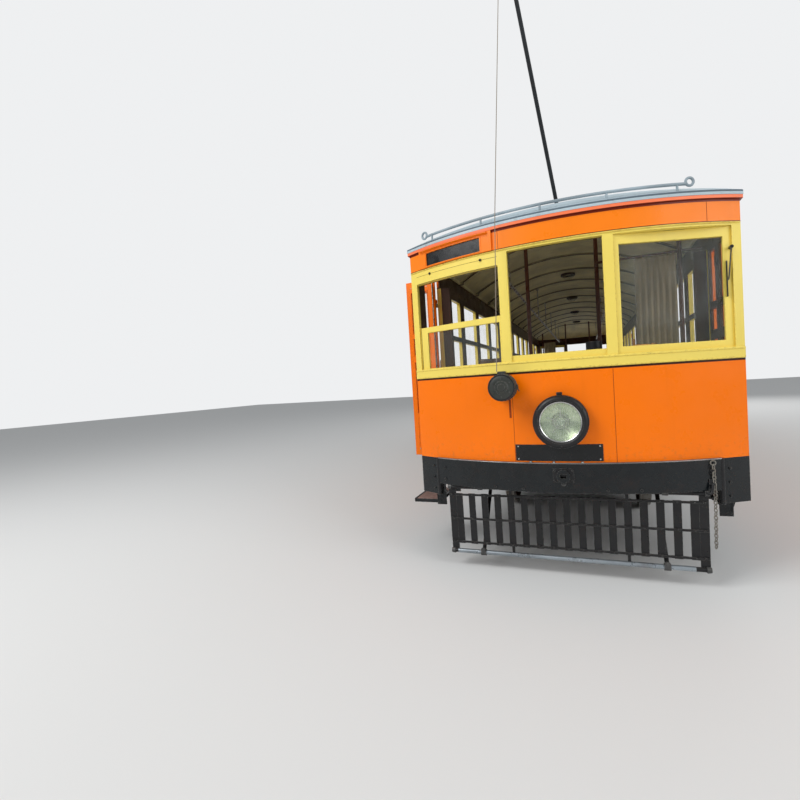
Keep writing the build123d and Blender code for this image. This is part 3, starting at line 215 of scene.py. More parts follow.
def pole_frame(index: int) -> Matrix:
    """Place of one trolley pole: its pivot at the origin and the pole along -Y.

    Args:
        index: 1 for the raised pole, 2 for the lowered one.

    Returns:
        The matrix from there to the car.
    """
    if index == 1:
        turn = Matrix.Rotation(-POLE_SWING, 4, "Z")
        return Matrix.Translation((0, -POLE_Y, POLE_Z)) @ turn @ Matrix.Rotation(-POLE_UP, 4, "X")
    return Matrix.Translation((0, POLE_Y, POLE_Z)) @ Matrix.Rotation(math.pi, 4, "Z")


class Tree:
    """Node tree of one material, read in the piece's own metres."""

    def __init__(self, name: str) -> None:
        """Starts a material with one shader.

        Args:
            name: The material's name.
        """
        self.material = bpy.data.materials.new(name)
        self.material.use_nodes = True
        self.nodes = self.material.node_tree.nodes
        self.links = self.material.node_tree.links
        self.nodes.clear()
        output = self.nodes.new("ShaderNodeOutputMaterial")
        self.shader = self.nodes.new("ShaderNodeBsdfPrincipled")
        self.links.new(self.shader.outputs["BSDF"], output.inputs["Surface"])
        self.coordinates = self.nodes.new("ShaderNodeTexCoord").outputs["Object"]
        self.normal = self.nodes.new("ShaderNodeNewGeometry").outputs["Normal"]

    def set(self, **values: object) -> None:
        """Sets or wires sockets of the shader, named with underscores for spaces."""
        for name, value in values.items():
            self.feed(self.shader.inputs[name.replace("_", " ")], value)

    def feed(self, socket: bpy.types.NodeSocket, value: object) -> None:
        """Gives a socket a value, or wires it to another socket.

        Args:
            socket: The input to fill.
            value: A socket, a number or a colour.
        """
        if isinstance(value, bpy.types.NodeSocket):
            self.links.new(value, socket)
        elif isinstance(value, (tuple, list)) and len(value) == 3 and socket.type == "RGBA":
            socket.default_value = (*value, 1.0)
        else:
            socket.default_value = value

    def node(self, kind: str, output: object, inputs: dict, **options: object) -> Socket:
        """Adds a node and fills it.

        Args:
            kind: Type of the node.
            output: Name or number of the output that is wanted.
            inputs: Values or sockets, by the name or number of the input.
            **options: Settings of the node itself.

        Returns:
            That output.
        """
        made = self.nodes.new(kind)
        for name, value in options.items():
            setattr(made, name, value)
        for name, value in inputs.items():
            self.feed(made.inputs[name], value)
        return made.outputs[output]

    def place(self, stretch: Point = (1.0, 1.0, 1.0)) -> Socket:
        """Object coordinates, stretched along each axis."""
        return self.node("ShaderNodeMapping", "Vector", {"Scale": stretch, "Vector": self.coordinates})

    def noise(self, scale: float, detail: float = 3.0, rough: float = 0.55,
              stretch: Point = (1.0, 1.0, 1.0)) -> Socket:
        """Smooth random pattern, 0 to 1."""
        inputs = {"Scale": scale, "Detail": detail, "Roughness": rough, "Vector": self.place(stretch)}
        return self.node("ShaderNodeTexNoise", "Fac", inputs)

    def cells(self, scale: float) -> Socket:
        """Distance to the nearest of many scattered points."""
        return self.node("ShaderNodeTexVoronoi", "Distance", {"Scale": scale, "Vector": self.place()})

    def waves(self, scale: float, axis: str) -> Socket:
        """Smooth bands along one axis, X, Y, Z or DIAGONAL."""
        inputs = {"Scale": scale, "Vector": self.place()}
        return self.node("ShaderNodeTexWave", "Fac", inputs, bands_direction=axis)

    def ease(self, value: Socket, low: float, high: float, to_low: float = 0.0,
             to_high: float = 1.0) -> Socket:
        """Value spread smoothly from one range to another and held at its ends."""
        inputs = {"Value": value, "From Min": low, "From Max": high, "To Min": to_low, "To Max": to_high}
        return self.node("ShaderNodeMapRange", "Result", inputs, interpolation_type="SMOOTHSTEP")

    def patches(self, scale: float, detail: float, rough: float, *levels: float) -> Socket:
        """Noise spread between two levels, which one or two more may follow as its new ends."""
        return self.ease(self.noise(scale, detail, rough), *levels)

    def sums(self, operation: str, *values: object) -> Socket:
        """Result of a mathematical operation on values or sockets."""
        return self.node("ShaderNodeMath", "Value", dict(enumerate(values)), operation=operation)

    def times(self, first: object, *others: object) -> Socket:
        """Product of two or more values or sockets.

        Args:
            first: The first factor.
            *others: The factors that follow.

        Returns:
            The product.
        """
        for other in others:
            first = self.sums("MULTIPLY", first, other)
        return first

    def off_middle(self, count: Socket) -> Socket:
        """How far a running count is from the middle between two whole numbers, 0 to 0.5."""
        return self.sums("ABSOLUTE", self.sums("SUBTRACT", self.sums("FRACT", count), 0.5))

    def far(self, one: Socket, other: Socket) -> Socket:
        """Length of a line with two sides at right angles."""
        return self.sums("SQRT", self.sums("ADD", self.times(one, one), self.times(other, other)))

    def mix(self, share: object, under: object, over: object) -> Socket:
        """Colour between two, over at a share of 1."""
        return self.node("ShaderNodeMix", 2, {0: share, 6: under, 7: over}, data_type="RGBA")

    def axis(self, letter: str) -> Socket:
        """One of the object coordinates, in metres."""
        return self.node("ShaderNodeSeparateXYZ", letter, {"Vector": self.coordinates})

    def facing_up(self) -> Socket:
        """Upward part of the surface's direction, -1 to 1."""
        return self.node("ShaderNodeSeparateXYZ", "Z", {"Vector": self.normal})

    def edges(self, radius: float) -> Socket:
        """Near 1 along the edges of the shape and 0 on its flats.

        Args:
            radius: How far from an edge it reaches, in metres.

        Returns:
            The pattern.
        """
        rounded = self.node("ShaderNodeBevel", "Normal", {"Radius": radius}, samples=4)
        inputs = {0: rounded, 1: self.normal}
        alike = self.node("ShaderNodeVectorMath", "Value", inputs, operation="DOT_PRODUCT")
        return self.ease(alike, 0.985, 0.90)

    def bump(self, height: Socket, strength: float, depth: float, under: Optional[Socket] = None) -> Socket:
        """Surface direction bent by a height pattern.

        Args:
            height: The pattern, 0 to 1.
            strength: Share of the effect.
            depth: Depth of the pattern in metres.
            under: Surface direction to start from.

        Returns:
            The bent direction.
        """
        inputs = {"Height": height, "Strength": strength, "Distance": depth}
        if under is not None:
            inputs["Normal"] = under
        return self.node("ShaderNodeBump", "Normal", inputs)


@dataclass(frozen=True)
class Finish:
    """A finish that makes its material once."""

    name: str

    def material(self) -> bpy.types.Material:
        """Material of this finish, made on first use.

        Returns:
            The material.
        """
        made = bpy.data.materials.get(f"finish_{self.name}")
        if made is None:
            tree = Tree(f"finish_{self.name}")
            self.fill(tree)
            made = tree.material
        return made

    def fill(self, tree: Tree) -> None:
        """Sets up the shader in a new tree."""
        raise NotImplementedError


@dataclass(frozen=True)
class Enamel(Finish):
    """Brushed coach enamel, a little faded, with road dust low down and colour bands by height, some of which
    are painted shadow lines.
    """

    colour: Colour = (0.8, 0.8, 0.8)
    gloss: float = 0.30
    fade: float = 0.10
    dust: Colour = srgb(122, 98, 72)
    dust_top: float = 1.25
    grain: float = 0.0
    inside: Optional[Colour] = None
    wall: float = 0.018
    worn: Optional[Colour] = None
    bands: tuple = ()

    def fill(self, tree: Tree) -> None:
        """Sets up the shader.

        Args:
            tree: The new tree.
        """
        broad = tree.noise(1.1, 4.0, 0.6)
        streak = tree.noise(9.0, 4.0, 0.6, (1.0, 1.0, 0.07))
        tone = tree.mix(tree.ease(broad, 0.30, 0.70), shade(self.colour, 1.0 - self.fade), self.colour)
        tone = tree.mix(tree.ease(streak, 0.52, 0.80, 0.0, 0.16), tone, shade(self.colour, 0.72))
        low = tree.ease(tree.axis("Z"), self.dust_top, self.dust_top - 0.5)
        speck = tree.patches(26.0, 5.0, 0.7, 0.50, 0.78)
        tone = tree.mix(tree.times(low, speck, 0.55), tone, self.dust)
        # Colour bands by height, set with each finish in Paint; some are painted shadow lines under beads and
        # mouldings.
        for low_z, high_z, colour in self.bands:
            above = tree.ease(tree.axis("Z"), low_z - 0.001, low_z)
            below = tree.ease(tree.axis("Z"), high_z + 0.001, high_z)
            tone = tree.mix(tree.times(above, below), tone, colour)
        if self.worn is not None:
            chips = tree.patches(48.0, 4.0, 0.7, 0.46, 0.60)
            tone = tree.mix(tree.times(tree.edges(0.006), chips), tone, self.worn)
        if self.inside is not None:
            tone = tree.mix(self.indoors(tree), tone, self.inside)
        tree.set(Base_Color=tone)
        tree.set(Roughness=tree.patches(6.0, 5.0, 0.65, 0.25, 0.75, self.gloss - 0.07, self.gloss + 0.14))
        tree.set(Coat_Weight=0.06, Coat_Roughness=0.12, Specular_IOR_Level=0.22)
        peel = tree.bump(tree.noise(95.0, 2.0), 0.05, 0.0006)
        if self.grain:
            lines = tree.noise(60.0, 4.0, 0.6, (1.0, 1.0, 0.06))
            peel = tree.bump(lines, self.grain, 0.0010, peel)
        tree.set(Normal=tree.bump(tree.noise(2.3, 2.0), 0.12, 0.004, peel))

    def indoors(self, tree: Tree) -> Socket:
        """Pattern that parts the inside of the body's walls from their outside.

        Args:
            tree: The tree to add it to.

        Returns:
            1 behind the outer skin and 0 on it.
        """
        across = tree.sums("ABSOLUTE", tree.axis("X"))
        along = tree.sums("ABSOLUTE", tree.axis("Y"))
        side = tree.ease(across, HALF_WIDTH - self.wall, HALF_WIDTH - self.wall - 0.001)
        reach = tree.far(across, tree.sums("SUBTRACT", along, -ARC_CENTRE_Y))
        in_arc = tree.ease(reach, END_RADIUS - self.wall, END_RADIUS - self.wall - 0.001)
        before_arc = tree.ease(along, -CORNER_Y - 0.05, -CORNER_Y - 0.06)
        return tree.times(side, tree.sums("MAXIMUM", in_arc, before_arc))


@dataclass(frozen=True)
class Iron(Finish):
    """Painted or bare iron with grime, dust on what faces up and bare edges."""

    colour: Colour = srgb(30, 30, 32)
    dust: Colour = srgb(120, 108, 92)
    rust: Colour = srgb(92, 52, 30)
    bare: Colour = srgb(128, 126, 122)
    gloss: float = 0.42
    dusty: float = 0.5
    rusty: float = 0.25
    metal: float = 0.0
    pitted: float = 0.25

    def fill(self, tree: Tree) -> None:
        """Sets up the shader.

        Args:
            tree: The new tree.
        """
        patch = tree.patches(7.0, 6.0, 0.7, 0.50, 0.72)
        broad = tree.patches(2.5, 4.0, 0.55, 0.3, 0.7)
        tone = tree.mix(broad, shade(self.colour, 0.75), shade(self.colour, 1.25))
        tone = tree.mix(tree.times(patch, self.rusty), tone, self.rust)
        chips = tree.patches(70.0, 4.0, 0.75, 0.42, 0.58)
        edge = tree.times(tree.edges(0.005), chips)
        tone = tree.mix(tree.times(edge, 0.7), tone, self.bare)
        settled = tree.ease(tree.facing_up(), 0.35, 0.95)
        speck = tree.patches(35.0, 5.0, 0.7, 0.30, 0.70)
        tone = tree.mix(tree.times(settled, speck, self.dusty), tone, self.dust)
        tree.set(Base_Color=tone, Metallic=self.metal, Specular_IOR_Level=0.4)
        tree.set(Roughness=tree.patches(11.0, 5.0, 0.7, 0.3, 0.7, self.gloss - 0.08, self.gloss + 0.22))
        fine = tree.bump(tree.noise(160.0, 3.0, 0.6), 0.10, 0.0008)
        tree.set(Normal=tree.bump(tree.noise(24.0, 5.0, 0.65), self.pitted, 0.0016, fine))


@dataclass(frozen=True)
class Metal(Finish):
    """Bare metal with fine scratches and patches of a dull film; on the silvered reflector the greenish
    colour and patches are a painted reflection.
    """

    colour: Colour = srgb(190, 188, 182)
    # Patch colour: a dull film on most metals, a painted reflection on the silvered reflector.
    film: Colour = srgb(96, 80, 62)
    gloss: float = 0.25
    film_and_reflection_share: float = 0.3
    scratch: Point = (1.0, 1.0, 8.0)

    def fill(self, tree: Tree) -> None:
        """Sets up the shader.

        Args:
            tree: The new tree.
        """
        patch = tree.patches(9.0, 6.0, 0.7, 0.42, 0.75)
        tone = tree.mix(tree.times(patch, self.film_and_reflection_share), self.colour, self.film)
        tree.set(Base_Color=tone, Metallic=1.0)
        lines = tree.noise(140.0, 3.0, 0.6, self.scratch)
        tree.set(Roughness=tree.patches(14.0, 5.0, 0.7, 0.3, 0.75, self.gloss - 0.06, self.gloss + 0.20))
        tree.set(Normal=tree.bump(lines, 0.08, 0.0005))


@dataclass(frozen=True)
class WheelSteel(Finish):
    """Wheelset: bright treads, rusty webs and an oily axle, about an axle at one Y."""

    axle_y: float = 0.0
    axle_z: float = AXLE_Z

    def fill(self, tree: Tree) -> None:
        """Sets up the shader.

        Args:
            tree: The new tree.
        """
        y = tree.sums("SUBTRACT", tree.axis("Y"), self.axle_y)
        z = tree.sums("SUBTRACT", tree.axis("Z"), self.axle_z)
        radius = tree.far(y, z)
        tread = tree.ease(radius, 0.300, 0.322)
        rust = tree.mix(tree.patches(13.0, 6.0, 0.7, 0.35, 0.68), srgb(52, 40, 32), srgb(104, 66, 42))
        worn = tree.mix(tree.patches(20.0, 4.0, 0.55, 0.4, 0.7), srgb(150, 146, 140), srgb(112, 100, 88))
        tone = tree.mix(tread, rust, worn)
        tree.set(Base_Color=tone, Metallic=tree.ease(tread, 0.0, 1.0, 0.35, 1.0))
        tree.set(Roughness=tree.ease(tread, 0.0, 1.0, 0.72, 0.34))
        tree.set(Normal=tree.bump(tree.noise(60.0, 5.0, 0.7), 0.25, 0.0012))


@dataclass(frozen=True)
class Roofing(Finish):
    """Painted roof canvas, with weave, patches of wear and rain stains."""

    colour: Colour = srgb(184, 202, 210)
    stain: Colour = srgb(104, 108, 110)

    def fill(self, tree: Tree) -> None:
        """Sets up the shader.

        Args:
            tree: The new tree.
        """
        tone = tree.mix(tree.patches(1.4, 5.0, 0.6, 0.35, 0.68), shade(self.colour, 0.86), self.colour)
        spots = tree.patches(12.0, 6.0, 0.72, 0.54, 0.74)
        tone = tree.mix(tree.times(spots, 0.45), tone, self.stain)
        tree.set(Base_Color=tone, Roughness=tree.ease(spots, 0.0, 1.0, 0.50, 0.72))
        weave = tree.times(tree.waves(240.0, "X"), tree.waves(240.0, "Y"))
        cloth = tree.bump(weave, 0.10, 0.0006)
        tree.set(Normal=tree.bump(tree.noise(7.0, 4.0, 0.6), 0.22, 0.003, cloth))


@dataclass(frozen=True)
class Timber(Finish):
    """Boards with grain and joints, laid along one axis."""

    colour: Colour = srgb(104, 72, 46)
    dark: Colour = srgb(54, 34, 22)
    along: str = "Y"
    board: float = 0.10
    gloss: float = 0.55

    def fill(self, tree: Tree) -> None:
        """Sets up the shader.

        Args:
            tree: The new tree.
        """
        stretch = {"X": (0.06, 1.0, 1.0), "Y": (1.0, 0.06, 1.0), "Z": (1.0, 1.0, 0.06)}[self.along]
        across = "X" if self.along == "Y" else "Y"
        grain = tree.noise(42.0, 6.0, 0.65, stretch)
        tone = tree.mix(tree.ease(grain, 0.32, 0.70), self.dark, self.colour)
        gap = tree.ease(tree.off_middle(tree.times(tree.axis(across), 1.0 / self.board)), 0.470, 0.492)
        tone = tree.mix(tree.times(gap, 0.8), tone, shade(self.dark, 0.4))
        wear = tree.patches(3.0, 4.0, 0.6, 0.45, 0.75, 0.0, 0.35)
        tone = tree.mix(wear, tone, shade(self.colour, 1.5))
        tree.set(Base_Color=tone, Roughness=tree.ease(grain, 0.3, 0.7, self.gloss - 0.08, self.gloss + 0.15))
        ridges = tree.bump(grain, 0.25, 0.0012)
        inverted = tree.sums("SUBTRACT", 1.0, gap)
        tree.set(Normal=tree.bump(inverted, 0.7, 0.003, ridges))


@dataclass(frozen=True)
class Pane(Finish):
    """Old window glass, a little wavy and dusty."""

    tint: Colour = srgb(178, 190, 186)
    clear: float = 0.16

    def fill(self, tree: Tree) -> None:
        """Sets up the shader.

        Args:
            tree: The new tree.
        """
        film = tree.patches(5.0, 5.0, 0.65, 0.35, 0.80)
        tree.set(Base_Color=tree.mix(film, self.tint, shade(self.tint, 0.8)), Specular_IOR_Level=0.6)
        tree.set(Alpha=tree.ease(film, 0.0, 1.0, self.clear, self.clear + 0.05))
        tree.set(Roughness=tree.ease(film, 0.0, 1.0, 0.02, 0.08))
        tree.set(Normal=tree.bump(tree.noise(3.2, 2.0), 0.10, 0.004))


@dataclass(frozen=True)
class Lens(Finish):
    """Fluted headlight glass."""

    tint: Colour = srgb(214, 226, 216)

    def fill(self, tree: Tree) -> None:
        """Sets up the shader.

        Args:
            tree: The new tree.
        """
        flutes = tree.waves(26.0, "X")
        tree.set(Base_Color=tree.mix(tree.ease(flutes, 0.0, 1.0), shade(self.tint, 0.8), self.tint))
        tree.set(Roughness=tree.patches(30.0, 3.0, 0.55, 0.3, 0.7, 0.03, 0.10), Specular_IOR_Level=0.8)
        tree.set(Alpha=tree.ease(flutes, 0.0, 1.0, 0.08, 0.18))
        tree.set(Normal=tree.bump(flutes, 0.45, 0.003))


@dataclass(frozen=True)
class Cloth(Finish):
    """Woven cloth: curtain or rope fibre."""

    colour: Colour = srgb(118, 106, 84)
    thread: float = 320.0

    def fill(self, tree: Tree) -> None:
        """Sets up the shader.

        Args:
            tree: The new tree.
        """
        weave = tree.sums("MAXIMUM", tree.waves(self.thread, "DIAGONAL"), tree.waves(self.thread, "Z"))
        tone = tree.mix(weave, shade(self.colour, 0.62), self.colour)
        faded = tree.patches(3.5, 5.0, 0.6, 0.35, 0.75, 0.0, 0.45)
        tone = tree.mix(faded, tone, shade(self.colour, 1.35))
        tree.set(Base_Color=tone, Roughness=tree.ease(weave, 0.0, 1.0, 0.95, 0.80), Sheen_Weight=0.25)
        tree.set(Normal=tree.bump(weave, 0.30, 0.0006))


@dataclass(frozen=True)
class Hide(Finish):
    """Creased, worn leather."""

    colour: Colour = srgb(96, 58, 36)

    def fill(self, tree: Tree) -> None:
        """Sets up the shader.

        Args:
            tree: The new tree.
        """
        pores = tree.cells(260.0)
        creases = tree.noise(22.0, 6.0, 0.7)
        tone = tree.mix(tree.ease(creases, 0.30, 0.70), shade(self.colour, 0.6), self.colour)
        rubbed = tree.patches(4.0, 4.0, 0.6, 0.50, 0.78, 0.0, 0.5)
        tone = tree.mix(rubbed, tone, shade(self.colour, 1.7))
        tree.set(Base_Color=tone, Roughness=tree.ease(creases, 0.3, 0.7, 0.38, 0.58), Coat_Weight=0.1)
        fine = tree.bump(pores, 0.25, 0.0008)
        tree.set(Normal=tree.bump(creases, 0.30, 0.002, fine))


@dataclass(frozen=True)
class Ceiling(Finish):
    """Aged lining paint with dark ribs over the window posts."""

    colour: Colour = srgb(246, 234, 184)
    rib: Colour = srgb(66, 44, 28)
    board: float = 0.075

    def fill(self, tree: Tree) -> None:
        """Sets up the shader.

        Args:
            tree: The new tree.
        """
        along = tree.times(tree.sums("ADD", tree.axis("Y"), SIDE_HALF), 1.0 / WINDOW_PITCH)
        off = tree.off_middle(tree.sums("ADD", along, 0.5))
        at_rib = tree.ease(off, 0.028, 0.024)
        inside = tree.ease(tree.sums("ABSOLUTE", tree.axis("Y")), SIDE_HALF + 0.03, SIDE_HALF + 0.02)
        aged = tree.mix(tree.patches(2.6, 5.0, 0.6, 0.35, 0.7), shade(self.colour, 0.72), self.colour)
        tone = tree.mix(tree.times(at_rib, inside), aged, self.rib)
        tree.set(Base_Color=tone, Roughness=tree.patches(8.0, 4.0, 0.55, 0.3, 0.7, 0.42, 0.60))
        boards = tree.times(tree.axis("X"), 1.0 / self.board)
        groove = tree.ease(tree.off_middle(boards), 0.500, 0.462)
        tree.set(Normal=tree.bump(groove, 0.6, 0.003))


class Paint(Enum):
    """Finishes of the car by what they are used on."""

    # Orange enamel; its dark band just under the belt bead is a painted shadow line under that bead, and also
    # stands for the gap there.
    ORANGE = Enamel("orange_enamel", BODY_ORANGE, inside=WALL_BROWN, fade=0.04,
                    bands=((BELT - 0.015, BELT + 0.001, srgb(52, 22, 14)),))
    # Letterboard enamel with three bands: a dark line along its foot just above the header, a painted shadow
    # line under the coral moulding, and the coral moulding itself.
    LETTERBOARD = Enamel("letterboard_enamel", srgb(255, 132, 20), inside=WALL_BROWN, fade=0.05, wall=0.02,
                         bands=((BAND_TOP - 0.002, BAND_TOP + 0.010, srgb(70, 30, 16)),
                                (2.742, 2.760, srgb(124, 38, 14)), (2.760, 2.790, srgb(250, 128, 84))))
    LEAF_ORANGE = Enamel("door_enamel", BODY_ORANGE, grain=0.12, worn=srgb(96, 60, 34),
                         inside=DARK_WOOD, wall=0.021)
    SIGN_BOX = Enamel("sign_box_enamel", srgb(255, 132, 24), gloss=0.34)
    SEAM = Enamel("seam_line", srgb(150, 58, 10), gloss=0.6, fade=0.2)
    YELLOW = Enamel("yellow_enamel", BODY_YELLOW, gloss=0.34, grain=0.16, inside=DARK_WOOD,
                    wall=0.045, worn=PALE_WOOD, fade=0.05)
    SASH_YELLOW = Enamel("sash_enamel", BODY_YELLOW, gloss=0.34, grain=0.16, worn=PALE_WOOD,
                         fade=0.05)
    GROOVE = Enamel("groove_line", srgb(120, 96, 30), gloss=0.6, fade=0.2)
    BLACK = Iron("black_ironwork", srgb(13, 18, 21), rusty=0.08, dusty=0.14, gloss=0.20)
    SATIN = Iron("satin_black", srgb(22, 22, 24), gloss=0.32, rusty=0.05, dusty=0.12, pitted=0.08)
    TRUCK = Iron("truck_iron", srgb(44, 38, 33), rusty=0.45, dusty=0.5, gloss=0.55)
    MOTOR = Iron("motor_iron", srgb(38, 35, 32), rusty=0.30, dusty=0.6, gloss=0.50)
    STEP_TREAD = Iron("step_tread", srgb(150, 120, 112), rust=srgb(96, 70, 60), rusty=0.6, dusty=0.4,
                      gloss=0.6)
    RAIL_PAINT = Iron("rail_paint", srgb(150, 164, 172), rusty=0.10, dusty=0.15, gloss=0.40, pitted=0.06)
    ROOF = Roofing("roof_canvas")
    CEILING = Ceiling("ceiling_paint")
    FLOOR = Timber("floor_boards", srgb(92, 66, 46), srgb(42, 28, 20), "Y", 0.085)
    # Roofing darkened for the canvas edge strip: painted shade along the roof's edge, on the strip's own
    # colour.
    ROOF_DARK = Roofing("roof_edge_shaded", srgb(96, 112, 124), srgb(70, 78, 86))
    PLATE = Iron("plate_black", srgb(20, 21, 22), gloss=0.28, rusty=0.02, dusty=0.05, pitted=0.03)
    # Pale half-metal finish of the bumper lip: worn bare metal, and a painted highlight along the bumper's
    # top edge.
    WORN_EDGE_AND_HIGHLIGHT = Iron("worn_edge_and_highlight", srgb(120, 122, 122), gloss=0.30, rusty=0.20, dusty=0.2, metal=0.6)
    CHAIN = Iron("chain_links", srgb(128, 124, 116), rusty=0.45, dusty=0.2, gloss=0.40, metal=0.5)
    CLAMP = Iron("clamp_iron", srgb(74, 74, 74), rusty=0.25, dusty=0.3, gloss=0.38, metal=0.3)
    FOOT_PIPE = Iron("foot_pipe", srgb(150, 158, 164), rusty=0.35, dusty=0.2, gloss=0.28, metal=0.7,
                     pitted=0.1)
    RETRIEVER = Iron("retriever_iron", srgb(48, 52, 48), rusty=0.08, dusty=0.3, gloss=0.38, pitted=0.12)
    WALKWAY = Timber("walkway_boards", srgb(150, 146, 136), srgb(92, 86, 76), "Y", 0.300, 0.75)
    GLASS = Pane("window_glass", clear=0.04)
    DOOR_GLASS = Pane("door_glass", clear=0.05)
    LENS = Lens("headlight_lens")
    STEEL = Metal("handled_steel")
    BRIGHT = Metal("bright_steel", srgb(206, 206, 204), gloss=0.14, film_and_reflection_share=0.12)
    BRONZE = Metal("bronze", srgb(176, 126, 66), srgb(84, 58, 34), 0.30, 0.4)
    # Silvered reflector tinted green with heavy green patches: a painted reflection of what the reflector
    # mirrors.
    SILVERED = Metal("silvered_reflector", srgb(200, 212, 178), srgb(96, 128, 62), gloss=0.18, film_and_reflection_share=0.75)
    POLE = Iron("pole_paint", srgb(40, 42, 44), gloss=0.40, rusty=0.1, dusty=0.1, pitted=0.05)
    BLIND = Iron("blind_black", srgb(14, 17, 20), gloss=0.20, rusty=0.0, dusty=0.0, pitted=0.02)
    LEATHER = Hide("seat_leather")
    SEAT_IRON = Iron("seat_iron", srgb(58, 44, 34), rusty=0.1, dusty=0.2, gloss=0.34, pitted=0.06)
    POST_BROWN = Iron("post_brown", srgb(92, 52, 34), bare=srgb(150, 120, 90), rusty=0.05, dusty=0.08,
                      gloss=0.28, pitted=0.04)
    PIPING = Hide("seat_piping", srgb(70, 40, 26))
    LAMP_GLASS = Lens("ceiling_lamp_glass", srgb(240, 236, 220))
    CURTAIN = Cloth("curtain_cloth", srgb(176, 160, 126))
    ROPE = Cloth("hemp_rope", srgb(136, 124, 108), 700.0)

    def material(self) -> bpy.types.Material:
        """Material of this finish."""
        return self.value.material()


NODE_PAINT = {name: paint for paint, names in {
    Paint.BLACK: "underframe bumpers step_wells air_gear trolley_base_1 trolley_base_2",
    Paint.ORANGE: "side_panel_left side_panel_right dash_1 dash_2",
    Paint.LETTERBOARD: "letterboard",
    Paint.YELLOW: "window_band_left window_band_right end_frame_1 end_frame_2",
    Paint.SASH_YELLOW: "end_sashes",
    Paint.GLASS: "end_glass side_glass",
    Paint.FLOOR: "floor",
    Paint.ROOF: "roof",
    Paint.CEILING: "ceiling",
    Paint.WALKWAY: "roof_boards",
    Paint.RAIL_PAINT: "roof_rails",
    Paint.STEEL: "door_hinges",
    Paint.SATIN: "fenders headlights retrievers driver_stands",
    Paint.LENS: "headlight_lenses",
    Paint.SIGN_BOX: "signs",
    Paint.SEAT_IRON: "seat_frames",
    Paint.LEATHER: "seat_cushions",
    Paint.POST_BROWN: "stanchions",
    Paint.CURTAIN: "curtains",
    Paint.TRUCK: "resistor_boxes truck_1 truck_2",
    Paint.MOTOR: "motors_1 motors_2",
    Paint.POLE: "pole_1 pole_2",
    Paint.BRONZE: "trolley_wheel_1 trolley_wheel_2",
}.items() for name in names.split()}
AXLES = {"axle_1a": -TRUCK_CENTRE - HALF_BASE, "axle_1b": -TRUCK_CENTRE + HALF_BASE,
         "axle_2a": TRUCK_CENTRE - HALF_BASE, "axle_2b": TRUCK_CENTRE + HALF_BASE}


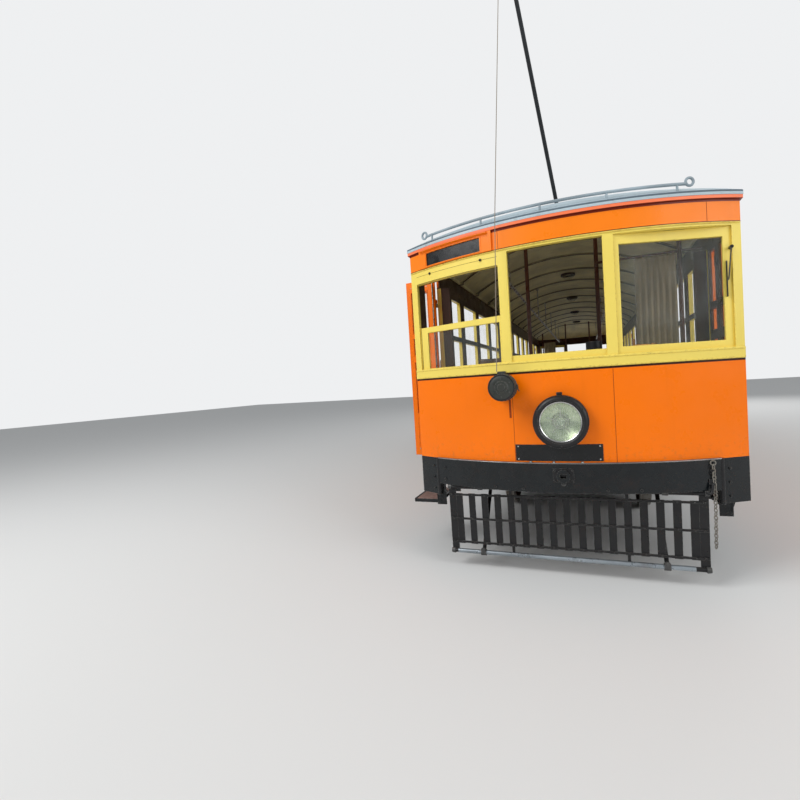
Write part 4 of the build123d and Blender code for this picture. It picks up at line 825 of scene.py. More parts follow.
class Form:
    """Mesh of one piece while it is shaped, in metres in the car's frame."""

    def __init__(self) -> None:
        """Starts an empty mesh."""
        self.mesh = bmesh.new()

    def settle(self, before: set, merge: bool = False, matrix: Optional[Matrix] = None) -> None:
        """Finishes what was added since a moment and turns its faces outwards.

        Args:
            before: The vertices of that moment.
            merge: True to merge double vertices.
            matrix: Where the new shape goes.
        """
        made = [v for v in self.mesh.verts if v not in before]
        if merge:
            bmesh.ops.remove_doubles(self.mesh, verts=made, dist=MERGE)
            made = [v for v in self.mesh.verts if v not in before]
        if matrix is not None:
            bmesh.ops.transform(self.mesh, matrix=matrix, verts=made)
        bmesh.ops.recalc_face_normals(self.mesh, faces=list({f for v in made for f in v.link_faces}))

    def block(self, low: Point, high: Point, edge: float = 0.0, segments: int = 2) -> None:
        """Box between two corners, with rounded edges.

        Args:
            low: One corner.
            high: The opposite corner.
            edge: Size of the rounding, or 0 for none.
            segments: Facets of the rounding.
        """
        low, high = Vector(low), Vector(high)
        made = bmesh.ops.create_cube(self.mesh, size=1.0)["verts"]
        size = Vector([abs(b - a) for a, b in zip(low, high)])
        bmesh.ops.scale(self.mesh, vec=size, verts=made)
        bmesh.ops.translate(self.mesh, vec=(low + high) / 2, verts=made)
        if edge:
            edges = list({e for v in made for e in v.link_edges})
            bmesh.ops.bevel(self.mesh, geom=edges, offset=edge, offset_type="OFFSET", segments=segments,
                            profile=0.5, affect="EDGES", material=-1, clamp_overlap=True)

    def surround(self, near: Point, far: Point, wide: float, edge: float = 0.0, segments: int = 2) -> None:
        """Four strips round an upright opening that faces sideways.

        Args:
            near: X of one face, and the opening's first y and lower z.
            far: X of the other face, and the opening's second y and upper z.
            wide: Width of the strips.
            edge: Size of their rounding.
            segments: Facets of the rounding.
        """
        (x0, y0, z0), (x1, y1, z1) = near, far
        past = math.copysign(wide, y1 - y0)
        before, after = y0 - past, y1 + past
        for low, high in (((before, z0 - wide), (after, z0)), ((before, z1), (after, z1 + wide)),
                          ((before, z0), (y0, z1)), ((y1, z0), (after, z1))):
            self.block((x0, *low), (x1, *high), edge, segments)

    def rod(self, start: Point, end: Point, radius: float, sides: int = 16,
            tip: Optional[float] = None) -> None:
        """Round bar from one point to another.

        Args:
            start: Centre of the first end.
            end: Centre of the other end.
            radius: Radius at the start.
            sides: Facets round it.
            tip: Radius at the end where it tapers.
        """
        start, end = Vector(start), Vector(end)
        matrix = Matrix.Translation((start + end) / 2) @ aimed(end - start)
        bmesh.ops.create_cone(self.mesh, cap_ends=True, segments=sides, radius1=radius, matrix=matrix,
                              radius2=radius if tip is None else tip, depth=(end - start).length)

    def turned(self, corners: Iterable[Point], closed: bool, steps: int, matrix: Matrix) -> None:
        """Line of corners turned about the Z axis.

        Args:
            corners: The corners.
            closed: True where the line is a loop.
            steps: Facets round the axis.
            matrix: Where the shape goes.
        """
        before = set(self.mesh.verts)
        points = [self.mesh.verts.new(corner) for corner in corners]
        edges = [self.mesh.edges.new(pair) for pair in zip(points, points[1:] + points[:1] * closed)]
        bmesh.ops.spin(self.mesh, geom=points + edges, cent=(0, 0, 0), axis=UP, angle=FULL_TURN, steps=steps,
                       use_merge=True)
        self.settle(before, True, matrix)

    def lathe(self, profile: Iterable[Point], origin: Point, way: Point, sides: int = 32) -> None:
        """Shape turned about an axis, from pairs of distance along it and radius."""
        corners = [(radius, 0.0, along) for along, radius in profile]
        self.turned(corners, False, sides, Matrix.Translation(Vector(origin)) @ aimed(way))

    def ring(self, centre: Point, normal: Point, radius: float, wire: float, steps: int = 16, sides: int = 6,
             stretch: float = 1.0, along: Point = (0.0, 0.0, 1.0)) -> None:
        """Ring of round wire, which may be stretched to an oval link.

        Args:
            centre: Its middle.
            normal: Way of its axis.
            radius: Radius of the wire's line.
            wire: Radius of the wire.
            steps: Facets round the ring.
            sides: Facets round the wire.
            stretch: Length over width.
            along: Way in which it is stretched.
        """
        turns = [FULL_TURN / sides * i for i in range(sides)]
        corners = [(radius + wire * math.cos(turn), 0.0, wire * math.sin(turn)) for turn in turns]
        z_axis = Vector(normal).normalized()
        x_axis = Vector(along) - z_axis * Vector(along).dot(z_axis)
        x_axis = x_axis.normalized() if x_axis.length > MERGE else z_axis.orthogonal().normalized()
        axes = Matrix((x_axis, z_axis.cross(x_axis), z_axis)).transposed().to_4x4()
        oval = Matrix.Diagonal((stretch, 1.0, 1.0, 1.0))
        self.turned(corners, True, steps, Matrix.Translation(Vector(centre)) @ axes @ oval)

    def swept(self, corners: Iterable[Point], centre: Point, axis: Point, angle: float, steps: int) -> None:
        """Flat outline swept about an axis into a solid.

        Args:
            corners: Corners of the outline.
            centre: Point on the axis.
            axis: Way of the axis.
            angle: How far it is swept, in radians.
            steps: Facets along the way.
        """
        before = set(self.mesh.verts)
        face = self.mesh.faces.new([self.mesh.verts.new(corner) for corner in corners])
        bmesh.ops.spin(self.mesh, geom=[face, *face.edges, *face.verts], cent=centre, axis=axis, angle=angle,
                       steps=steps, use_merge=False)
        self.settle(before)

    def arc(self, section: Iterable[Point], low: float, high: float, steps: int = 24) -> None:
        """Section swept along end 1's curve.

        Args:
            section: Pairs of how proud a corner is and its height.
            low: Lowest x.
            high: Highest x.
            steps: Facets along the curve.
        """
        start = math.asin(low / END_RADIUS)
        corners = []
        for proud, z in section:
            reach = END_RADIUS + proud
            corners.append((reach * math.sin(start), ARC_CENTRE_Y - reach * math.cos(start), z))
        self.swept(corners, (0, ARC_CENTRE_Y, 0), UP, math.asin(high / END_RADIUS) - start, steps)

    def hoop(self, y: float, wide: float, high: float) -> None:
        """Flat strip over the roof's arch.

        Args:
            y: Its middle.
            wide: Its width.
            high: How proud of the roof it is.
        """
        sunk, half_span, steps = -0.004, 1.262, 28
        centre_z = CROWN - ARCH_RADIUS
        start = math.asin(-half_span / ARCH_RADIUS)
        corners = []
        for along, rise in ((-wide / 2, sunk), (wide / 2, sunk), (wide / 2, high), (-wide / 2, high)):
            reach = ARCH_RADIUS + rise
            corners.append((reach * math.sin(start), y + along, centre_z + reach * math.cos(start)))
        self.swept(corners, (0, y, centre_z), (0, 1, 0), -2 * start, steps)

    def pipe(self, points: Sequence[Point], radius: float, sides: int = 6, order: int = 3,
             closed: bool = False) -> None:
        """Smooth round bar that follows a route.

        Args:
            points: Control points of the route.
            radius: Radius of the bar.
            sides: Half of the facets round it.
            order: Order of the route's curve; 2 keeps its corners.
            closed: True for a ring.
        """
        curve = bpy.data.curves.new("route", "CURVE")
        curve.dimensions = "3D"
        curve.bevel_depth = radius
        curve.bevel_resolution = sides - 2
        curve.use_fill_caps = True
        spline = curve.splines.new("NURBS")
        spline.points.add(len(points) - 1)
        for slot, point in zip(spline.points, points):
            slot.co = (*point, 1.0)
        spline.order_u = order
        spline.use_endpoint_u = not closed
        spline.use_cyclic_u = closed
        spline.resolution_u = 8
        holder = linked("route", curve)
        bpy.context.view_layer.update()
        data = applied(holder)
        before = set(self.mesh.verts)
        self.mesh.from_mesh(data)
        bpy.data.curves.remove(curve)
        bpy.data.meshes.remove(data)
        self.settle(before, True)

    def chain(self, points: Sequence[Point], pitch: float, wire: float) -> None:
        """Chain of oval links that follows straight runs between points.

        Args:
            points: Ends of the runs.
            pitch: Distance from link to link.
            wire: Radius of the wire.
        """
        wide, stretch = 0.42, 1.45
        for count, (start, end) in enumerate(zip(points, points[1:])):
            start, end = Vector(start), Vector(end)
            way = end - start
            links = max(1, round(way.length / pitch))
            side = way.orthogonal().normalized()
            for index in range(links):
                normal = side if (index + count) % 2 else way.cross(side)
                middle = start + way * ((index + 0.5) / links)
                self.ring(middle, normal, pitch * wide, wire, 10, 5, stretch, way)

    def place(self, matrix: Matrix) -> None:
        """Moves all that was made so far."""
        bmesh.ops.transform(self.mesh, matrix=matrix, verts=list(self.mesh.verts))

    def bolt(self, at: Point, way: Point, radius: float, height: float, sides: int = 6) -> None:
        """Bolt head on a face, pointing one way."""
        self.rod(at, Vector(at) + Vector(way).normalized() * height, radius, sides, radius * 0.9)

    def opposite_end(self) -> None:
        """Adds the same shapes at end 2."""
        whole = [*self.mesh.verts, *self.mesh.edges, *self.mesh.faces]
        made = bmesh.ops.duplicate(self.mesh, geom=whole)["geom"]
        verts = [item for item in made if isinstance(item, bmesh.types.BMVert)]
        bmesh.ops.rotate(self.mesh, cent=(0, 0, 0), matrix=Matrix.Rotation(math.pi, 3, "Z"), verts=verts)

    def both_ends(self, name: str, slot: str, paint: Paint) -> None:
        """Makes the shape, with its copy at end 2, a piece of the car's body."""
        self.opposite_end()
        self.piece(name, "car", slot, paint)

    def data(self, name: str) -> bpy.types.Mesh:
        """Ends the shaping.

        Args:
            name: Name of the mesh.

        Returns:
            The finished mesh.
        """
        made = bpy.data.meshes.new(name)
        self.mesh.to_mesh(made)
        self.mesh.free()
        return made

    def piece(self, name: str, body: Optional[str], slot: str, paint: Paint,
              sharp: float = 38.0) -> bpy.types.Object:
        """Makes the shape a piece of the car.

        Args:
            name: The piece's name.
            body: The body that it rides on, or None to leave it unattached.
            slot: Not used.
            paint: Its finish.
            sharp: Angle in degrees above which an edge stays sharp.

        Returns:
            The new object.
        """
        data = self.data(name)
        data.shade_smooth()
        data.set_sharp_from_angle(angle=math.radians(sharp))
        data.materials.append(paint.material())
        made = linked(name, data)
        if body is not None:
            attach(made, body)
        LOG.info("piece %s on %s: %d faces", name, body, len(data.polygons))
        return made


@dataclass
class Studio:
    """Camera of the photograph, pale floor and soft light."""

    place: Point = (0.1892, -9.8723, 1.5979)
    yaw: float = 0.3889
    pitch: float = 0.0327
    roll: float = 0.0626
    focal_pixels: float = 456.84
    image_pixels: float = 800.0
    sensor: float = 36.0
    clip_end: float = 500.0
    floor_half: float = 45.0
    floor_colour: Colour = (0.74, 0.74, 0.73)
    floor_rough: float = 0.9
    sky: float = 0.42
    sky_colour: Colour = (0.94, 0.97, 1.0)
    shown_colour: Colour = (0.86, 0.87, 0.88)
    lamps: tuple = (("key", (-7.0, -13.0, 9.0), (0.0, -4.0, 1.2), 7.0, 980.0),
                    ("fill", (9.0, -10.0, 6.0), (0.0, -3.0, 1.5), 7.0, 460.0),
                    ("rear", (5.0, 13.0, 9.0), (0.0, 3.0, 1.5), 8.0, 600.0))

    def build(self) -> None:
        """Makes the camera, the floor and the lights."""
        bpy.context.scene.view_settings.view_transform = "Standard"
        self.camera()
        self.floor()
        self.lights()

    def camera(self) -> None:
        """Places the camera as the photograph's was."""
        look = Vector((-math.sin(self.yaw) * math.cos(self.pitch), math.cos(self.yaw) * math.cos(self.pitch),
                       -math.sin(self.pitch)))
        right = look.cross(Vector((0, 0, 1))).normalized()
        up = right.cross(look)
        cosine, sine = math.cos(self.roll), math.sin(self.roll)
        right, up = cosine * right - sine * up, sine * right + cosine * up
        data = bpy.data.cameras.new("camera")
        data.sensor_width = self.sensor
        data.lens = self.focal_pixels / self.image_pixels * self.sensor
        data.clip_end = self.clip_end
        holder = linked("camera", data)
        axes = Matrix((right, up, -look)).transposed().to_4x4()
        holder.matrix_world = Matrix.Translation(self.place) @ axes
        bpy.context.scene.camera = holder

    def floor(self) -> None:
        """Lays a pale floor that shows as near white but keeps shadows."""
        form = Form()
        bmesh.ops.create_grid(form.mesh, x_segments=1, y_segments=1, size=self.floor_half)
        data = form.data("studio_floor")
        material = bpy.data.materials.new("studio_floor")
        material.use_nodes = True
        shader = material.node_tree.nodes["Principled BSDF"]
        shader.inputs["Base Color"].default_value = (*self.floor_colour, 1.0)
        shader.inputs["Roughness"].default_value = self.floor_rough
        data.materials.append(material)
        linked("studio_floor", data)

    def lights(self) -> None:
        """Lights the car from a pale sky and two large lamps."""
        world = bpy.data.worlds.new("studio")
        bpy.context.scene.world = world
        world.use_nodes = True
        nodes, links = world.node_tree.nodes, world.node_tree.links
        nodes.clear()
        rays = nodes.new("ShaderNodeLightPath")
        seen = nodes.new("ShaderNodeMath")
        seen.operation = "MAXIMUM"
        soft = nodes.new("ShaderNodeBackground")
        soft.inputs["Color"].default_value = (*self.sky_colour, 1.0)
        soft.inputs["Strength"].default_value = self.sky
        shown = nodes.new("ShaderNodeBackground")
        shown.inputs["Color"].default_value = (*self.shown_colour, 1.0)
        mix = nodes.new("ShaderNodeMixShader")
        output = nodes.new("ShaderNodeOutputWorld")
        for source, target in ((rays.outputs["Is Camera Ray"], seen.inputs[0]),
                               (rays.outputs["Is Transmission Ray"], seen.inputs[1]),
                               (seen.outputs["Value"], mix.inputs["Fac"]),
                               (soft.outputs["Background"], mix.inputs[1]),
                               (shown.outputs["Background"], mix.inputs[2]),
                               (mix.outputs["Shader"], output.inputs["Surface"])):
            links.new(source, target)
        for name, place, aim, size, power in self.lamps:
            self.lamp(name, place, aim, size, power)

    @staticmethod
    def lamp(name: str, place: Point, aim: Point, size: float, power: float) -> None:
        """Places one large square lamp that faces a point.

        Args:
            name: Its name.
            place: Where it stands.
            aim: The point it faces.
            size: Length of its side.
            power: Its power in watts.
        """
        data = bpy.data.lights.new(name, "AREA")
        data.shape = "SQUARE"
        data.size = size
        data.energy = power
        holder = linked(name, data)
        holder.location = place
        holder.rotation_euler = (Vector(aim) - Vector(place)).to_track_quat("-Z", "Y").to_euler()


@dataclass
class Dressing:
    """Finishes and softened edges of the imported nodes."""

    weld: float = 1e-5
    flat_angle: float = math.radians(0.8)
    edge_angle: float = math.radians(40.0)
    smooth_angle: float = math.radians(36.0)
    edge: float = 0.0025
    fine_edge: float = 0.0010
    fine: tuple = ("roof_rails", "headlight_lenses", "end_glass", "side_glass", "door_hinges",
                   "window_band_left", "window_band_right")
    plain: tuple = ("ceiling", "seat_cushions", "curtains")
    group: Optional[bpy.types.NodeTree] = None

    def build(self) -> None:
        """Dresses every node that is shown."""
        self.group = self.smoothing()
        for name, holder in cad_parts.items():
            holder.data.materials.clear()
            holder.data.materials.append(self.finish(name))
            self.soften(holder, name)

    def finish(self, name: str) -> bpy.types.Material:
        """Material of one node.

        Args:
            name: The node's name.

        Returns:
            Its material.
        """
        if name in AXLES:
            return WheelSteel(f"wheel_steel_{name[-2:]}", AXLES[name]).material()
        if name.startswith("door_") and name != "door_hinges":
            return Paint.LEAF_ORANGE.material()
        if name.startswith("step_") and name != "step_wells":
            return Paint.BLACK.material()
        return NODE_PAINT[name].material()

    def soften(self, holder: bpy.types.Object, name: str) -> None:
        """Gives a node small rounded edges and smooth curves through modifiers.

        Args:
            holder: The node's object.
            name: Its name.
        """
        weld = holder.modifiers.new("weld", "WELD")
        weld.merge_threshold = self.weld
        if name not in self.plain:
            flat = holder.modifiers.new("flats", "DECIMATE")
            flat.decimate_type = "DISSOLVE"
            flat.angle_limit = self.flat_angle
            holder.modifiers.new("facets", "TRIANGULATE")
            bevel = holder.modifiers.new("edges", "BEVEL")
            bevel.width = self.fine_edge if name in self.fine else self.edge
            bevel.segments = 2
            bevel.limit_method = "ANGLE"
            bevel.angle_limit = self.edge_angle
            bevel.use_clamp_overlap = True
            bevel.miter_outer = "MITER_ARC"
        smooth = holder.modifiers.new("smooth", "NODES")
        smooth.node_group = self.group
        weighted = holder.modifiers.new("normals", "WEIGHTED_NORMAL")
        weighted.keep_sharp = True

    def smoothing(self) -> bpy.types.NodeTree:
        """Geometry nodes that shade curves smooth and keep corners sharp.

        Returns:
            The node group.
        """
        group = bpy.data.node_groups.new("smooth_curves", "GeometryNodeTree")
        for way in ("INPUT", "OUTPUT"):
            group.interface.new_socket("Geometry", in_out=way, socket_type="NodeSocketGeometry")
        start, faces, edges, angle, over, end = (group.nodes.new(kind) for kind in (
            "NodeGroupInput", "GeometryNodeSetShadeSmooth", "GeometryNodeSetShadeSmooth",
            "GeometryNodeInputMeshEdgeAngle", "FunctionNodeCompare", "NodeGroupOutput"))
        faces.domain = "FACE"
        edges.domain = "EDGE"
        edges.inputs["Shade Smooth"].default_value = False
        over.data_type = "FLOAT"
        over.operation = "GREATER_THAN"
        over.inputs["B"].default_value = self.smooth_angle
        for source, target in ((angle.outputs["Unsigned Angle"], over.inputs["A"]),
                               (start.outputs[0], faces.inputs["Geometry"]),
                               (faces.outputs["Geometry"], edges.inputs["Geometry"]),
                               (over.outputs["Result"], edges.inputs["Selection"]),
                               (edges.outputs["Geometry"], end.inputs[0])):
            group.links.new(source, target)
        return group


@dataclass
class Headlight:
    """Rim, reflector, bulb and seams of the lamp on each dash."""

    height: float = 1.255
    proud: float = 0.086
    glass_radius: float = 0.156
    outer_radius: float = 0.196
    bowl_depth: float = 0.039

    def build(self) -> None:
        """Makes the pieces at both ends."""
        face = end_y(0.0, self.proud)
        glass, outer = self.glass_radius, self.outer_radius
        rim = [(-0.004, glass - 0.016), (0.004, glass - 0.016), (0.009, glass - 0.012),
               (0.010, glass - 0.008), (0.006, glass - 0.004), (-0.004, glass - 0.004),
               (-0.004, glass - 0.016)]
        door = [(-0.004, glass - 0.007), (0.008, glass - 0.006), (0.016, glass + 0.004),
                (0.015, glass + 0.018), (0.004, outer - 0.006), (-0.010, outer - 0.001),
                (-0.022, outer + 0.001), (-0.022, outer - 0.004), (-0.004, glass - 0.007)]
        shares = [0.985 * (1 - step / 8) for step in range(9)]
        bowl = [(-0.020 - self.bowl_depth * (1 - share ** 2), glass * share) for share in shares]
        bulb = [(-0.058, 0.012), (-0.050, 0.013), (-0.044, 0.020), (-0.034, 0.024), (-0.026, 0.020),
                (-0.021, 0.010), (-0.020, 0.0)]
        for name, slot, paint, sides, profile in (
                ("rims", "fitting_steel", Paint.BRIGHT, 64, rim),
                ("doors", "black_paint", Paint.SATIN, 64, door),
                ("reflectors", "fitting_steel", Paint.SILVERED, 48, bowl),
                ("bulbs", "lens_glass", Paint.LENS, 24, bulb)):
            made = Form()
            made.lathe(profile, (0, face, self.height), OUT, sides)
            made.both_ends(f"headlight_{name}", slot, paint)
        self.holder(face)
        self.catches(face)

    def on_face(self, angle: float, radius: float, y: float) -> Point:
        """Point at an angle in degrees and a radius about the lamp's axis."""
        a = math.radians(angle)
        return math.cos(a) * radius, y, self.height + math.sin(a) * radius

    def holder(self, face: float) -> None:
        """Two rings and five arms that hold the bulb.

        Args:
            face: Y of the lamp's front.
        """
        holder = Form()
        for radius in (0.052, 0.034):
            holder.ring((0, face + 0.034, self.height), OUT, radius, 0.0035, 32)
        for arm in range(5):
            angle = 90 + 72 * arm
            near = self.on_face(angle, 0.034, face + 0.034)
            holder.rod(near, self.on_face(angle, 0.120, face + 0.046), 0.0028, 8)
        holder.both_ends("headlight_holders", "fitting_steel", Paint.STEEL)

    def catches(self, face: float) -> None:
        """Three screws and the hinge of the lamp's door.

        Args:
            face: Y of the lamp's front.
        """
        trim = Form()
        for angle in (30, 150, 270):
            trim.bolt(self.on_face(angle, self.outer_radius - 0.014, face - 0.006), OUT, 0.007, 0.009, 8)
        top = self.height + self.outer_radius
        trim.block((-0.020, face + 0.010, top - 0.006), (0.020, face + 0.060, top + 0.022), 0.004)
        trim.both_ends("headlight_catches", "black_paint", Paint.SATIN)


@dataclass
class Shell:
    """Seams, beads, rivets and edge strips of the body and its roof."""

    seams: tuple = (-0.350, 0.370)
    board_seams: tuple = (-0.400, 1.02)
    bead_reach: float = 1.238
    rivets_high: int = 8
    rivets_along: int = 114
    canvas_seams: int = 7
    canvas_pitch: float = 1.285

    def build(self) -> None:
        """Makes the trim of both ends and both sides."""
        self.ends()
        self.sides()
        self.roof()
        self.header()

    def ends(self) -> None:
        """Panel joints of the dashes and letterboard."""
        lines = Form()
        for x in self.seams:
            lines.arc(section(-0.001, 0.0006, DASH_BOTTOM + 0.004, BELT - 0.010), x - 0.0016, x + 0.0016, 1)
        for x in self.board_seams:
            lines.arc(section(-0.001, 0.0006, BAND_TOP + 0.002, 2.744), x - 0.0014, x + 0.0014, 1)
        lines.both_ends("panel_joints", "orange_paint", Paint.SEAM)
        bead = Form()
        nose = [(0.007, SILL_TOP - 0.016), (0.013, SILL_TOP - 0.012), (0.013, SILL_TOP - 0.004),
                (0.008, SILL_TOP + 0.001), (-0.004, SILL_TOP + 0.001), (-0.004, SILL_TOP - 0.016)]
        bead.arc(nose, -self.bead_reach, self.bead_reach, 40)
        edge = [(0.006, BELT + 0.002), (0.010, BELT + 0.005), (0.010, BELT + 0.012), (0.006, BELT + 0.015),
                (-0.004, BELT + 0.015), (-0.004, BELT + 0.002)]
        bead.arc(edge, -self.bead_reach, self.bead_reach, 40)
        cap = [(-0.002, BAND_TOP - 0.006), (0.006, BAND_TOP - 0.006), (0.009, BAND_TOP - 0.001),
               (0.006, BAND_TOP + 0.003), (-0.002, BAND_TOP + 0.003)]
        bead.arc(cap, -self.bead_reach, self.bead_reach, 40)
        bead.both_ends("end_beads", "yellow_paint", Paint.SASH_YELLOW)

    def sides(self) -> None:
        """Battens, beads and rivets along both sides."""
        orange, yellow, heads = Form(), Form(), Form()
        reach = SIDE_HALF - 0.070
        for side in (-1, 1):
            for low, high, proud in ((DASH_BOTTOM + 0.004, DASH_BOTTOM + 0.026, 0.006),
                                     (BELT - 0.034, BELT - 0.014, 0.005)):
                self.batten(orange, side, (-reach, low), (reach, high), proud, 0.003)
            for low, high, proud, edge in ((SILL_TOP - 0.018, SILL_TOP, 0.012, 0.005),
                                           (BELT + 0.002, BELT + 0.014, 0.009, 0.004),
                                           (BAND_TOP - 0.022, BAND_TOP, 0.010, 0.004)):
                self.batten(yellow, side, (-reach, low), (reach, high), proud, edge)
            for index in range(1, WINDOWS):
                y = -SIDE_HALF + index * WINDOW_PITCH
                low, high = (y - 0.018, DASH_BOTTOM + 0.026), (y + 0.018, BELT - 0.034)
                self.batten(orange, side, low, high, 0.004, 0.002)
                for step in range(self.rivets_high):
                    at = (side * (HALF_WIDTH + 0.004), y, DASH_BOTTOM + 0.060 + step * 0.078)
                    heads.bolt(at, (side, 0, 0), 0.0055, 0.003)
            for index in range(self.rivets_along):
                y = -reach + 0.04 + index * (2 * reach - 0.08) / (self.rivets_along - 1)
                heads.bolt((side * (HALF_WIDTH + 0.006), y, DASH_BOTTOM + 0.015), (side, 0, 0), 0.005, 0.003)
            for index in range(WINDOWS):
                low = -SIDE_HALF + index * WINDOW_PITCH + PANE_EDGE
                high = low + WINDOW_PITCH - 2 * PANE_EDGE
                for z0, z1 in PANES:
                    yellow.surround((side * (HALF_WIDTH - 0.014), low, z0),
                                    (side * (HALF_WIDTH - 0.008), high, z1), 0.009)
        orange.piece("side_battens", "car", "orange_paint", Paint.LEAF_ORANGE)
        yellow.piece("side_beads", "car", "yellow_paint", Paint.SASH_YELLOW)
        heads.piece("side_rivets", "car", "orange_paint", Paint.LEAF_ORANGE)

    @staticmethod
    def batten(form: Form, side: int, low: Point, high: Point, proud: float, edge: float) -> None:
        """Strip on one side wall, between two pairs of y and z."""
        form.block((side * (HALF_WIDTH - INTO_WALL), *low), (side * (HALF_WIDTH + proud), *high), edge)

    def roof(self) -> None:
        """Edge strip of the canvas and the strips over its joints."""
        edge = Form()
        strip = [(0.0212, EAVE_TOP - 0.010), (0.0232, EAVE_TOP - 0.006), (0.0212, EAVE_TOP - 0.001),
                 (0.015, EAVE_TOP + 0.004), (0.010, EAVE_TOP - 0.010)]
        edge.arc(strip, -1.250, 1.250, 40)
        edge.opposite_end()
        straight = -CORNER_Y - 0.02
        for side in (-1, 1):
            edge.block((side * (ROOF_HALF - 0.006), -straight, EAVE_TOP - 0.010),
                       (side * (ROOF_HALF + 0.003), straight, EAVE_TOP + 0.002), 0.002)
        # The edge strip takes the darker roofing: painted shade along the roof's edge.
        edge.piece("canvas_edge", "car", "roof_paint", Paint.ROOF_DARK)
        seams = Form()
        for index in range(self.canvas_seams):
            seams.hoop((index - self.canvas_seams // 2) * self.canvas_pitch, 0.030, 0.003)
        seams.piece("canvas_seams", "car", "roof_paint", Paint.ROOF)

    def header(self) -> None:
        """Groove and knobs of the left header, and the gap beside the lowered sash."""
        groove, knobs = Form(), Form()
        knob = [(-0.002, 0.010), (0.004, 0.011), (0.009, 0.009), (0.012, 0.004), (0.013, 0.0)]
        for back, front, low, high in ((-0.002, 0.0006, 2.548, 2.5505), (-0.004, 0.0005, 2.4815, 2.485)):
            groove.arc(section(back, front, low, high), -1.178, -0.414, 20)
        x = -1.166
        y = sash_y(x, -1.180, -0.412)
        groove.block((x - 0.003, y - 0.0006, SILL_TOP + 0.003), (x + 0.003, y + 0.002, 2.094))
        groove.both_ends("sash_grooves", "yellow_paint", Paint.GROOVE)
        for x in (-1.030, -0.550):
            knobs.lathe(knob, (x, end_y(x), 2.550), OUT, 16)
        knobs.both_ends("header_knobs", "fitting_steel", Paint.SATIN)


